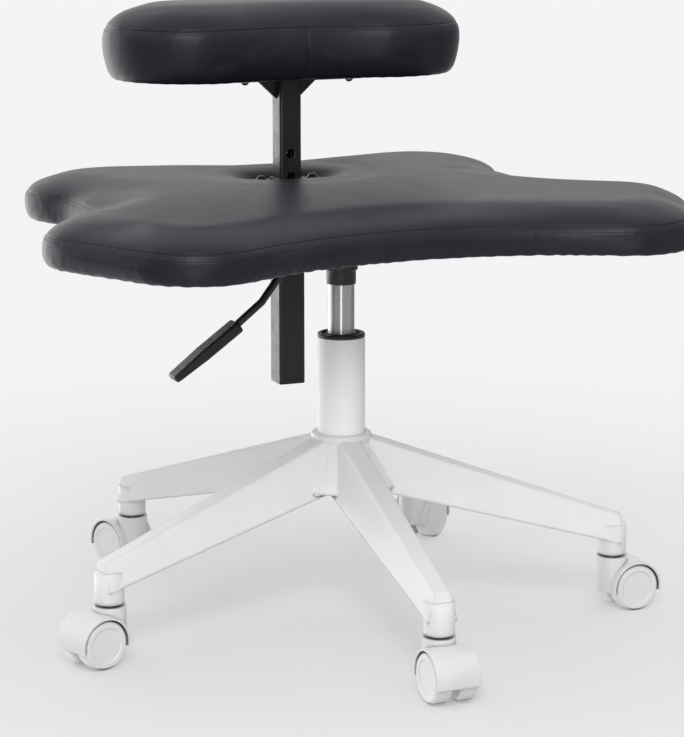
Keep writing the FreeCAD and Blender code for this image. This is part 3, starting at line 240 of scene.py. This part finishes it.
def moulded_white(name, dark, light, roughness, rounding, gap):
    """White moulded nylon: fine spark texture, faint clouding, soft inner corners, and painted shade in gaps
    and corners.
    """
    material, tree, shader = new_material(name)
    where = place_in(tree)
    nylon = tones(tree, noise(tree, where, 0.06), dark, light)
    # Painted shade: ambient occlusion darkens the colour in narrow gaps and inner corners, where shade falls
    open_share = add(tree, "AmbientOcclusion", {"Distance": gap}, samples=6).outputs["AO"]
    gap_shaded = mixed(tree, span(tree, open_share, 0, 1, 0.3, 0.75), GAP_SHADE, nylon)
    put(tree, shader.inputs["Base Color"], gap_shaded)
    shine = noise(tree, where, 0.012)
    put(tree, shader.inputs["Roughness"], span(tree, shine, roughness - 0.05, roughness + 0.06))
    corners = add(tree, "Bevel", {"Radius": rounding}, samples=6).outputs["Normal"]
    sparks = noise(tree, where, 0.0011, 2.0)
    put(tree, shader.inputs["Normal"], bump(tree, sparks, 0.00008, corners))
    shader.inputs["IOR"].default_value = 1.5
    return material


def painted_white():
    """White powder coat with a light orange peel."""
    material, tree, shader = new_material("painted_white")
    where = place_in(tree)
    paint = tones(tree, noise(tree, where, 0.05), (0.91, 0.91, 0.925), (0.94, 0.94, 0.955))
    put(tree, shader.inputs["Base Color"], paint)
    put(tree, shader.inputs["Roughness"], span(tree, noise(tree, where, 0.02), 0.46, 0.54))
    put(tree, shader.inputs["Normal"], bump(tree, noise(tree, where, 0.0022, 1.0), 0.00006))
    return material


def black_plastic():
    """Black moulded plastic with a fine grain."""
    material, tree, shader = new_material("black_plastic")
    where = place_in(tree)
    plastic = tones(tree, noise(tree, where, 0.02), (0.006, 0.006, 0.007), (0.011, 0.011, 0.012))
    put(tree, shader.inputs["Base Color"], plastic)
    put(tree, shader.inputs["Roughness"], span(tree, noise(tree, where, 0.006), 0.38, 0.5))
    put(tree, shader.inputs["Normal"], bump(tree, cells(tree, where, 0.0009), 0.00012))
    return material


def powder_black(name, roughness):
    """Black powder coat on steel: orange peel, and edges rubbed a little lighter."""
    material, tree, shader = new_material(name)
    where = place_in(tree)
    wear = edge_share(tree, 0.0012)
    scuffs = noise(tree, where, 0.008)
    worn = combined(tree, "MULTIPLY", wear, scuffs)
    coat = tones(tree, worn, (0.006, 0.006, 0.008), (0.04, 0.04, 0.045), 0.15, 0.8)
    put(tree, shader.inputs["Base Color"], coat)
    shine = noise(tree, where, 0.015)
    put(tree, shader.inputs["Roughness"], span(tree, shine, roughness - 0.05, roughness + 0.07))
    put(tree, shader.inputs["Normal"], bump(tree, noise(tree, where, 0.0014, 1.0), 0.00009))
    return material


def chrome():
    """Hard chrome with faint grinding lines along the column."""
    material, tree, shader = new_material("chrome")
    lines = noise(tree, place_in(tree, (1, 1, 0.02)), 0.0006, 2.0)
    smears = noise(tree, place_in(tree, (1, 1, 0.25)), 0.006)
    metal = tones(tree, smears, (0.50, 0.50, 0.51), (0.66, 0.66, 0.67))
    put(tree, shader.inputs["Base Color"], metal)
    shader.inputs["Metallic"].default_value = 1
    put(tree, shader.inputs["Roughness"], span(tree, smears, 0.26, 0.32))
    shader.inputs["Anisotropic"].default_value = 1.0
    shader.inputs["Anisotropic Rotation"].default_value = 0.25
    around = add(tree, "Tangent", direction_type="RADIAL", axis="Z").outputs["Tangent"]
    put(tree, shader.inputs["Tangent"], around)
    put(tree, shader.inputs["Normal"], bump(tree, lines, 0.00002))
    return material


def bright_steel():
    """Zinc-plated steel, slightly clouded."""
    material, tree, shader = new_material("bright_steel")
    where = place_in(tree)
    clouds = noise(tree, where, 0.004)
    zinc = tones(tree, clouds, (0.42, 0.42, 0.43), (0.58, 0.58, 0.60))
    put(tree, shader.inputs["Base Color"], zinc)
    shader.inputs["Metallic"].default_value = 1
    put(tree, shader.inputs["Roughness"], span(tree, clouds, 0.26, 0.4))
    put(tree, shader.inputs["Normal"], bump(tree, noise(tree, where, 0.001), 0.00004))
    return material


def plywood():
    """Bare board: long grain across the seat, with pale and brown streaks."""
    material, tree, shader = new_material("plywood")
    along = place_in(tree, (0.06, 1, 1))
    streaks = noise(tree, along, 0.006, 6.0, 0.6)
    wood = tones(tree, streaks, (0.30, 0.19, 0.10), (0.52, 0.38, 0.23))
    put(tree, shader.inputs["Base Color"], wood)
    put(tree, shader.inputs["Roughness"], span(tree, streaks, 0.75, 0.6))
    put(tree, shader.inputs["Normal"], bump(tree, noise(tree, along, 0.0012, 3.0), 0.0002))
    return material


def line_at(tree, value, place, width):
    """1 where a value is at a place, falling to 0 over a width in metres."""
    away = combined(tree, "SUBTRACT", value, place)
    inputs = {"Value": add(tree, "Math", {0: away}, operation="ABSOLUTE").outputs["Value"],
              "From Min": 0.0, "From Max": width, "To Min": 1.0, "To Max": 0.0}
    return add(tree, "MapRange", inputs, interpolation_type="SMOOTHSTEP").outputs["Result"]


def leather(name, seam, hem, front_seam=None):
    """Matte black leather cloth: fine grain, soft unevenness, and the sewn seam round the cushion.

    The seam is a height, with a hem's fold showing below it if its strength isn't 0, as a groove and a
    darker line that is painted shade of its crease. An upright seam in front is given as its x, a y behind
    it, and the height of its foot.
    """
    material, tree, shader = new_material(name)
    where = place_in(tree)
    axes = add(tree, "SeparateXYZ", {0: where})
    sewn = line_at(tree, axes.outputs["Z"], seam, SEAM_WIDTH)
    if front_seam:
        x, y, foot = front_seam
        upright = line_at(tree, axes.outputs["X"], x, SEAM_WIDTH)
        for axis, limit in (("Y", y), ("Z", seam)):
            inside = combined(tree, "LESS_THAN", axes.outputs[axis], limit)
            upright = combined(tree, "MULTIPLY", upright, inside)
        above = combined(tree, "GREATER_THAN", axes.outputs["Z"], foot)
        sewn = combined(tree, "MAXIMUM", sewn, combined(tree, "MULTIPLY", upright, above))
    # The fold line takes the seam's dark tone as painted shade of its crease, as well as a groove
    fold = line_at(tree, axes.outputs["Z"], seam - HEM_DEPTH, SEAM_WIDTH)
    sewn = combined(tree, "MAXIMUM", sewn, combined(tree, "MULTIPLY", fold, hem))
    cloth = tones(tree, noise(tree, where, 0.05), LEATHER_DARK, LEATHER_LIGHT)
    put(tree, shader.inputs["Base Color"], mixed(tree, sewn, cloth, SEAM_TONE_AND_FOLD_SHADE))
    put(tree, shader.inputs["Roughness"], span(tree, noise(tree, where, 0.03), 0.39, 0.42))
    uneven = bump(tree, noise(tree, where, 0.06, 2.0, 0.3), 0.0003)
    grain = bump(tree, cells(tree, where, 0.0013), 0.00007, uneven)
    valley = combined(tree, "SUBTRACT", 1.0, sewn)
    put(tree, shader.inputs["Normal"], bump(tree, valley, SEAM_RELIEF, grain))
    shader.inputs["IOR"].default_value = LEATHER_IOR
    return material


def dust_cover():
    """Black non-woven cloth stapled under a cushion."""
    material, tree, shader = new_material("dust_cover")
    where = place_in(tree)
    fibres = noise(tree, where, 0.0012, 3.0)
    felt = tones(tree, fibres, (0.008, 0.008, 0.009), (0.02, 0.02, 0.022))
    put(tree, shader.inputs["Base Color"], felt)
    shader.inputs["Roughness"].default_value = 0.9
    put(tree, shader.inputs["Normal"], bump(tree, fibres, 0.0003))
    return material


def thread():
    """Black sewing thread with a fine twist."""
    material, tree, shader = new_material("thread")
    where = place_in(tree)
    twist = noise(tree, where, 0.0005, 1.0)
    yarn = tones(tree, twist, (0.007, 0.007, 0.009), (0.014, 0.014, 0.017))
    put(tree, shader.inputs["Base Color"], yarn)
    shader.inputs["Roughness"].default_value = 0.6
    put(tree, shader.inputs["Normal"], bump(tree, twist, 0.0001))
    return material


looks = {
    "nylon_white": moulded_white("nylon_white", (0.77, 0.77, 0.785), (0.81, 0.81, 0.825),
                                 roughness=0.36, rounding=0.005, gap=0.0015),
    "caster_white": moulded_white("caster_white", (0.67, 0.67, 0.68), (0.71, 0.71, 0.72),
                                  roughness=0.38, rounding=0.001, gap=0.006),
    "wheel_white": moulded_white("wheel_white", (0.71, 0.71, 0.72), (0.75, 0.75, 0.76),
                                 roughness=0.32, rounding=0.001, gap=0.006),
    "painted_white": painted_white(),
    "black_plastic": black_plastic(),
    "chrome": chrome(),
    "bright_steel": bright_steel(),
    "black_zinc": powder_black("black_zinc", 0.3),
    "black_steel": powder_black("black_steel", 0.36),
    "plywood": plywood(),
}
thread_look = thread()
cover_look = dust_cover()

# The cushions' own slot has no look here, because leather skins replace them
for subpart in frame["record"]["subparts"]:
    mesh = nodes[subpart["node"]].data
    mesh.materials.clear()
    mesh.materials.append(looks.get(subpart["material_slot"], cover_look))


# Meshes

def new_mesh(name, shape):
    """Mesh of a finished bmesh, which is freed."""
    mesh = bpy.data.meshes.new(name)
    shape.to_mesh(mesh)
    shape.free()
    return mesh


def new_piece(name, mesh, look):
    """Object in the scene with a mesh and its look."""
    piece = bpy.data.objects.new(name, mesh)
    scene.collection.objects.link(piece)
    mesh.materials.clear()
    mesh.materials.append(look)
    return piece


def apply_modifiers(piece):
    depsgraph = bpy.context.evaluated_depsgraph_get()
    piece.data = bpy.data.meshes.new_from_object(piece.evaluated_get(depsgraph))
    piece.modifiers.clear()


def vertex_values(mesh, name):
    """Vertex places (co) or normals (normal) as rows of three numbers."""
    values = np.zeros(len(mesh.vertices) * 3)
    mesh.vertices.foreach_get(name, values)
    return values.reshape(-1, 3)


def set_places(mesh, places):
    mesh.vertices.foreach_set("co", places.ravel())
    mesh.update()


def round_edges(node, width):
    """Soften a CAD node's sharp edges as it is shown."""
    weld = node.modifiers.new("weld", "WELD")
    weld.merge_threshold = WELD_REACH
    bevel = node.modifiers.new("bevel", "BEVEL")
    bevel.width = width
    bevel.segments = 2
    bevel.limit_method = "ANGLE"
    bevel.angle_limit = EDGE_ANGLE
    bevel.harden_normals = True


# Cushions

def closed_skin(name, solids, look):
    """One closed skin round CAD solids that fill each other."""
    shape = bmesh.new()
    for solid in solids:
        shape.from_mesh(nodes[solid].data)
    piece = new_piece(name, new_mesh(name, shape), look)
    remesh = piece.modifiers.new("skin", "REMESH")
    remesh.mode = "VOXEL"
    remesh.voxel_size = SKIN_VOXEL
    apply_modifiers(piece)
    return piece


def mark(piece, name, chosen):
    """Vertex group of the chosen points."""
    group = piece.vertex_groups.new(name=name)
    group.add([int(index) for index in np.nonzero(chosen)[0]], 1.0, "REPLACE")


def swell(piece, held):
    """Cloth simulation: the skin fills out under pressure, up to a cap, except where it is held."""
    rest = vertex_values(piece.data, "co")
    mark(piece, "held", held)
    cloth = piece.modifiers.new("swell", "CLOTH")
    settings = cloth.settings
    settings.quality = 4
    settings.mass = 0.3
    settings.tension_stiffness = 12
    settings.compression_stiffness = 12
    settings.bending_stiffness = 1.5
    settings.use_pressure = True
    settings.uniform_pressure_force = SWELL_PRESSURE
    settings.effector_weights.gravity = 0
    settings.vertex_group_mass = "held"
    cloth.point_cache.frame_end = SWELL_FRAMES
    for step in range(1, SWELL_FRAMES + 1):
        scene.frame_set(step)
    apply_modifiers(piece)
    moved = vertex_values(piece.data, "co") - rest
    length = np.maximum(np.linalg.norm(moved, axis=1, keepdims=True), 1e-9)
    set_places(piece.data, rest + moved * np.minimum(1, SWELL_CAP / length))
    scene.frame_set(1)


def smooth_faces(mesh):
    mesh.polygons.foreach_set("use_smooth", [True] * len(mesh.polygons))


def smooth_skin(piece, broad):
    """Relax the whole skin a little, and more where it is broad and open, and make it finer."""
    mark(piece, "broad", broad)
    for name, rounds, group in (("relax", RELAX_ROUNDS, ""), ("ease", CROWN_ROUNDS, "broad")):
        relax = piece.modifiers.new(name, "SMOOTH")
        relax.factor = 0.5
        relax.iterations = rounds
        relax.vertex_group = group
    finer = piece.modifiers.new("finer", "SUBSURF")
    finer.levels = 1
    apply_modifiers(piece)
    smooth_faces(piece.data)


def level_loop(piece, height):
    """Longest closed line of the skin at a height, as points in order.

    It runs anticlockwise, seen from above, from its point farthest along X, so that it is the same each run.
    """
    shape = bmesh.new()
    shape.from_mesh(piece.data)
    everything = shape.verts[:] + shape.edges[:] + shape.faces[:]
    cut = bmesh.ops.bisect_plane(shape, geom=everything, plane_co=(0, 0, height), plane_no=(0, 0, 1))
    edges = {item for item in cut["geom_cut"] if isinstance(item, bmesh.types.BMEdge)}
    loops = []
    while edges:
        edge = edges.pop()
        chain = [edge.verts[0], edge.verts[1]]
        while True:
            following = [e for e in chain[-1].link_edges if e in edges]
            if not following:
                break
            edges.discard(following[0])
            chain.append(following[0].other_vert(chain[-1]))
        loops.append(np.array([vert.co[:] for vert in chain[:-1]]))
    shape.free()
    loop = max(loops, key=lambda loop: np.linalg.norm(np.diff(loop, axis=0), axis=1).sum())
    following = np.roll(loop, -1, axis=0)
    if np.sum(loop[:, 0] * following[:, 1] - following[:, 0] * loop[:, 1]) < 0:
        loop = loop[::-1]
    return np.roll(loop, -int(loop[:, 0].argmax()), axis=0)


def even_points(loop, spacing):
    """The closed loop again, at even steps of about a spacing."""
    closed = np.vstack([loop, loop[:1]])
    along = np.concatenate([[0], np.cumsum(np.linalg.norm(np.diff(closed, axis=0), axis=1))])
    count = int(along[-1] / spacing)
    steps = np.linspace(0, along[-1], count, endpoint=False)
    return np.stack([np.interp(steps, along, closed[:, axis]) for axis in range(3)], axis=1)


def nearest_on(loop, places):
    """For each place, the nearest loop point's index and the distance to it, both seen from above."""
    tree = KDTree(len(loop))
    for index, point in enumerate(loop):
        tree.insert((point[0], point[1], 0), index)
    tree.balance()
    found = [tree.find((x, y, 0)) for x, y, _ in places]
    return np.array([hit[1] for hit in found]), np.array([hit[2] for hit in found])


def bell(distance, width):
    """1 at no distance, falling smoothly to nothing over about twice a width."""
    return np.exp(-(distance / width) ** 2)


def dress_cushion(piece, outline, seam, bottom, pitch, seed, front_seam):
    """Seams drawn in a little, and a lower edge that is dropped and gathered unevenly between its staples."""
    spacing = 0.002
    knot_gap = 0.05
    side_reach = 0.016
    seam_draw, front_draw = 0.0006, 0.0008
    gather, slackness = 0.0005, 0.0005
    edge_drop, scallop = 0.0024, 0.0009
    loop = even_points(outline, spacing)
    places = vertex_values(piece.data, "co")
    normals = vertex_values(piece.data, "normal")
    index, distance = nearest_on(loop, places)
    along = index * spacing
    draws = np.random.default_rng(seed)
    knots = np.linspace(0, along.max(), int(along.max() / knot_gap))
    drift = np.interp(along, knots, draws.uniform(-1, 1, len(knots)))
    strength = np.interp(along, knots, draws.uniform(0.3, 1.0, len(knots)))
    on_side = bell(distance, side_reach)
    height = places[:, 2]
    waves = strength * np.sin(along * 2 * math.pi / pitch + 4 * drift)
    drawn = -seam_draw * bell(height - seam, 0.004) + gather * waves * bell(height - bottom - 0.002, 0.005)
    slack = slackness * drift * bell(height - (bottom + seam) / 2, 0.012)
    if front_seam:
        x, y, foot = front_seam
        in_front = (places[:, 1] < y) & (height > foot) & (height < seam)
        drawn -= front_draw * bell(places[:, 0] - x, 0.003) * in_front
    moved = places + normals * ((drawn + slack) * on_side)[:, None]
    moved[:, 2] += (scallop * waves - edge_drop) * bell(height - bottom, 0.006) * on_side
    set_places(piece.data, moved)


def bridge_notches(piece, outline):
    """Draw the skin a little straighter across the side notches, as stretched leather lies."""
    places = vertex_values(piece.data, "co")
    _, distance = nearest_on(even_points(outline, 0.004), places)
    in_notch = bell(places[:, 1] - NOTCH_MIDDLE, NOTCH_REACH)
    places[:, 0] += np.sign(places[:, 0]) * NOTCH_FILL * in_notch * bell(distance, NOTCH_RIM)
    set_places(piece.data, places)


def tuck_under(piece, outline, bottom):
    """Fold the skin a flap's width under the board, and hide the rest of its underside inside the board."""
    loop = even_points(outline, 0.002)
    places = vertex_values(piece.data, "co")
    normals = vertex_values(piece.data, "normal")
    _, distance = nearest_on(loop, places)
    facing_down = (places[:, 2] < bottom + 0.006) & (normals[:, 2] < -0.4)
    places[facing_down & (distance > FLAP_WIDTH), 2] = bottom + FLAP_LIFT
    set_places(piece.data, places)


def stitch_row(name, loop, body):
    """Short thread stitches laid end to end along a closed line."""
    points = even_points(loop, STITCH_PITCH)
    shape = bmesh.new()
    for point, following in zip(points, np.roll(points, -1, axis=0)):
        ahead = Vector(following - point).normalized()
        turn = ahead.to_track_quat("Z", "Y").to_matrix().to_4x4()
        turn.translation = Vector(point)
        made = bmesh.ops.create_uvsphere(shape, u_segments=6, v_segments=4, radius=STITCH_RADIUS)
        for vert in made["verts"]:
            vert.co.z *= STITCH_LENGTH / 2 / STITCH_RADIUS
            vert.co = turn @ vert.co
    mesh = new_mesh(name, shape)
    smooth_faces(mesh)
    ride_with(new_piece(name, mesh, thread_look), body)


def inset_loop(loop, distance):
    """An anticlockwise closed loop again, drawn in by a distance as seen from above."""
    ahead = np.roll(loop, -1, axis=0) - np.roll(loop, 1, axis=0)
    inward = np.stack([-ahead[:, 1], ahead[:, 0], np.zeros(len(loop))], axis=1)
    return loop + inward / np.linalg.norm(inward, axis=1, keepdims=True) * distance


def ride_with(piece, body):
    """Give a piece the body that it moves with."""
    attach(piece, body)


def make_cover(name, outline, height, hole, body):
    """Dust cover under a board: a thin sheet inside an outline, with a square hole if one is given."""
    loops = [even_points(outline, 0.006)]
    if hole:
        x, y, half = hole
        corners = ((-1, -1), (1, -1), (1, 1), (-1, 1))
        loops.append(np.array([(x + across * half, y + along * half, 0) for across, along in corners]))
    shape = bmesh.new()
    for loop in loops:
        verts = [shape.verts.new((point[0], point[1], height)) for point in loop]
        for start, end in zip(verts, verts[1:] + verts[:1]):
            shape.edges.new((start, end))
    bmesh.ops.triangle_fill(shape, edges=shape.edges[:], use_beauty=True, normal=(0, 0, -1))
    piece = new_piece(name, new_mesh(name, shape), cover_look)
    thick = piece.modifiers.new("thick", "SOLIDIFY")
    thick.thickness = COVER_THICKNESS
    thick.offset = 0
    apply_modifiers(piece)
    ride_with(piece, body)


def make_staples(name, outline, height, body, seed):
    """Wire staples through the dust cover, along an outline."""
    points = even_points(outline, STAPLE_SPACING)
    draws = np.random.default_rng(seed)
    shape = bmesh.new()
    for point, following in zip(points, np.roll(points, -1, axis=0)):
        heading = math.atan2(following[1] - point[1], following[0] - point[0])
        heading += draws.uniform(-STAPLE_TURN, STAPLE_TURN)
        spot = Matrix.Translation((point[0], point[1], height)) @ Matrix.Rotation(heading, 4, "Z")
        bmesh.ops.create_cube(shape, size=1, matrix=spot @ Matrix.Diagonal((*STAPLE_SIZE, 1)))
    ride_with(new_piece(name, new_mesh(name, shape), looks["bright_steel"]), body)


def make_cushion(name, node, board, body, seam_share, pitch, seed, front_seam=False, hole=None):
    """Leather skin over a cushion's CAD solid and its board, with stitches, dust cover and staples.

    The pitch is that of the gathers in its lower edge. A hole for the post, as its middle and half its
    width, comes with a dish in the crown and with notches in the sides.
    """
    low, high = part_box(node)
    bottom = low.z
    seam = low.z + (high.z - low.z) * seam_share
    upright = (FRONT_SEAM_X, (low.y + high.y) / 2, bottom + FRONT_SEAM_FOOT) if front_seam else None
    look = leather(name, seam, 0.0 if front_seam else HEM_STRENGTH, upright)
    piece = closed_skin(name, (node, board), look)
    places = vertex_values(piece.data, "co")
    held = places[:, 2] < bottom + HELD_HEIGHT
    broad = places[:, 2] > seam + CROWN_CLEAR
    if hole:
        in_dish = np.hypot(places[:, 0] - hole[0], places[:, 1] - hole[1]) < DISH_REACH
        held |= in_dish
        broad &= ~in_dish
    swell(piece, held)
    smooth_skin(piece, broad)
    if hole:
        bridge_notches(piece, level_loop(piece, seam))
    outline = level_loop(piece, seam)
    dress_cushion(piece, outline, seam, bottom, pitch, seed, upright)
    tuck_under(piece, outline, bottom)
    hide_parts(node)
    ride_with(piece, body)
    stitch_row(name + "_stitches", level_loop(piece, seam - STITCH_DROP), body)
    edge = even_points(level_loop(piece, bottom + HELD_HEIGHT), 0.004)
    make_cover(name + "_cover", inset_loop(edge, COVER_INSET), bottom - COVER_DROP, hole, body)
    make_staples(name + "_staples", inset_loop(edge, STAPLE_INSET), bottom - STAPLE_DROP, body, seed)


sleeve_low, sleeve_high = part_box("post_sleeve")
sleeve_half = (sleeve_high.x - sleeve_low.x) / 2
sleeve_hole = (0.0, (sleeve_low.y + sleeve_high.y) / 2, sleeve_half + SLEEVE_CLEARANCE)
make_cushion("seat_skin", "seat_cushion", "seat_board", "seat", SEAT_SEAM, pitch=0.017, seed=7,
             hole=sleeve_hole)
make_cushion("perch_skin", "perch_cushion", "perch_board", "perch", PERCH_SEAM, pitch=0.02, seed=11,
             front_seam=True)


def make_socket_shades():
    """Painted shade of the hexagon sockets in the domed heads of the flange bolts: thin dark discs, not
    recesses.
    """
    low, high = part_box("flange_bolts")
    shape = bmesh.new()
    for x in (low.x + BOLT_HEAD / 2, high.x - BOLT_HEAD / 2):
        spot = Matrix.Translation((x, (low.y + high.y) / 2, high.z - 0.0002))
        bmesh.ops.create_cone(shape, cap_ends=True, segments=6, radius1=SOCKET_SHADE_RADIUS, radius2=SOCKET_SHADE_RADIUS,
                              depth=SOCKET_SHADE_THICKNESS, matrix=spot)
    mesh = new_mesh("bolt_socket_shades", shape)
    # The black plastic look on these discs is painted shade of the socket recesses
    ride_with(new_piece("bolt_socket_shades", mesh, looks["black_plastic"]), "seat")


make_socket_shades()

for subpart in frame["record"]["subparts"]:
    if subpart["material_slot"] in EDGE_WIDTHS:
        round_edges(nodes[subpart["node"]], EDGE_WIDTHS[subpart["material_slot"]])


# Floor, light and camera

def make_floor():
    """A pale round floor that fades into the background."""
    shape = bmesh.new()
    bmesh.ops.create_circle(shape, cap_ends=True, segments=96, radius=FLOOR_RADIUS)
    material, tree, shader = new_material("floor")
    where = place_in(tree)
    put(tree, shader.inputs["Base Color"], tones(tree, noise(tree, where, 0.9), FLOOR_DARK, FLOOR_LIGHT))
    shader.inputs["Roughness"].default_value = 0.8
    shader.inputs["Specular IOR Level"].default_value = 0.1
    off = {0: where, 1: FLOOR_MIDDLE}
    distance = add(tree, "VectorMath", off, operation="DISTANCE").outputs["Value"]
    near, far = FLOOR_FADE
    fading = {"Value": distance, "From Min": near, "From Max": far, "To Min": FLOOR_CLEAR, "To Max": 1.0}
    faded = add(tree, "MapRange", fading, interpolation_type="SMOOTHSTEP").outputs["Result"]
    clear = add(tree, "BsdfTransparent")
    mix = add(tree, "MixShader", {0: faded, 1: shader.outputs["BSDF"], 2: clear.outputs["BSDF"]})
    tree.links.new(mix.outputs["Shader"], tree.nodes["Material Output"].inputs["Surface"])
    new_piece("floor", new_mesh("floor", shape), material)


def make_world():
    """White studio: bright behind and on the left, dimmer in front, and one plain tone to the camera."""
    world = bpy.data.worlds.new("studio")
    world.use_nodes = True
    scene.world = world
    tree = world.node_tree
    direction = add(tree, "TexCoord").outputs["Generated"]

    def along(axis):
        return add(tree, "VectorMath", {0: direction, 1: axis}, operation="DOT_PRODUCT").outputs["Value"]

    across = along((math.cos(VIEW_TURN), -math.sin(VIEW_TURN), 0))
    front = along((-math.sin(VIEW_TURN), -math.cos(VIEW_TURN), 0))
    turn = combined(tree, "ARCTAN2", across, front)
    ramp = add(tree, "ValToRGB", {"Fac": span(tree, turn, 0, 1, -math.pi, math.pi)})
    stops = ramp.color_ramp.elements
    stops[0].color = (STUDIO[0][1],) * 3 + (1,)
    stops[1].color = (STUDIO[-1][1],) * 3 + (1,)
    for place, brightness in STUDIO[1:-1]:
        stops.new(place).color = (brightness, brightness, brightness, 1)
    low, high = CEILING_HEIGHTS
    rise = {"Value": along((0, 0, 1)), "From Min": low, "From Max": high}
    up = add(tree, "MapRange", rise, interpolation_type="SMOOTHSTEP").outputs["Result"]
    room = mixed(tree, up, ramp.outputs["Color"], CEILING)
    light = tree.nodes["Background"]
    tree.links.new(room, light.inputs["Color"])
    white = add(tree, "Background", {"Color": BACKGROUND})
    seen = add(tree, "LightPath").outputs["Is Camera Ray"]
    mix = add(tree, "MixShader", {0: seen, 1: light.outputs["Background"], 2: white.outputs["Background"]})
    tree.links.new(mix.outputs["Shader"], tree.nodes["World Output"].inputs["Surface"])


def area_light(name, place, aim, width, height, power):
    """Soft lamp at a place, turned to an aim, that adds little gloss."""
    lamp = bpy.data.lights.new(name, "AREA")
    lamp.shape = "RECTANGLE"
    lamp.size = width
    lamp.size_y = height
    lamp.energy = power
    lamp.specular_factor = LAMP_GLOSS
    holder = bpy.data.objects.new(name, lamp)
    holder.location = place
    holder.rotation_euler = (Vector(aim) - Vector(place)).to_track_quat("-Z", "Y").to_euler()
    scene.collection.objects.link(holder)


def make_camera():
    """Camera at the photograph's viewing angle."""
    camera = bpy.data.cameras.new("camera")
    camera.lens = CAMERA_LENS
    camera.sensor_width = CAMERA_SENSOR
    camera.clip_end = 60
    holder = bpy.data.objects.new("camera", camera)
    holder.location = CAMERA_PLACE
    holder.rotation_euler = (VIEW_TILT, 0, -VIEW_TURN)
    scene.collection.objects.link(holder)
    scene.camera = holder


make_floor()
make_world()
area_light("front", place=(-1.1, -2.4, 2.3), aim=(0, 0, 0.3), width=1.0, height=1.2, power=40)
make_camera()
scene.view_settings.view_transform = "Standard"
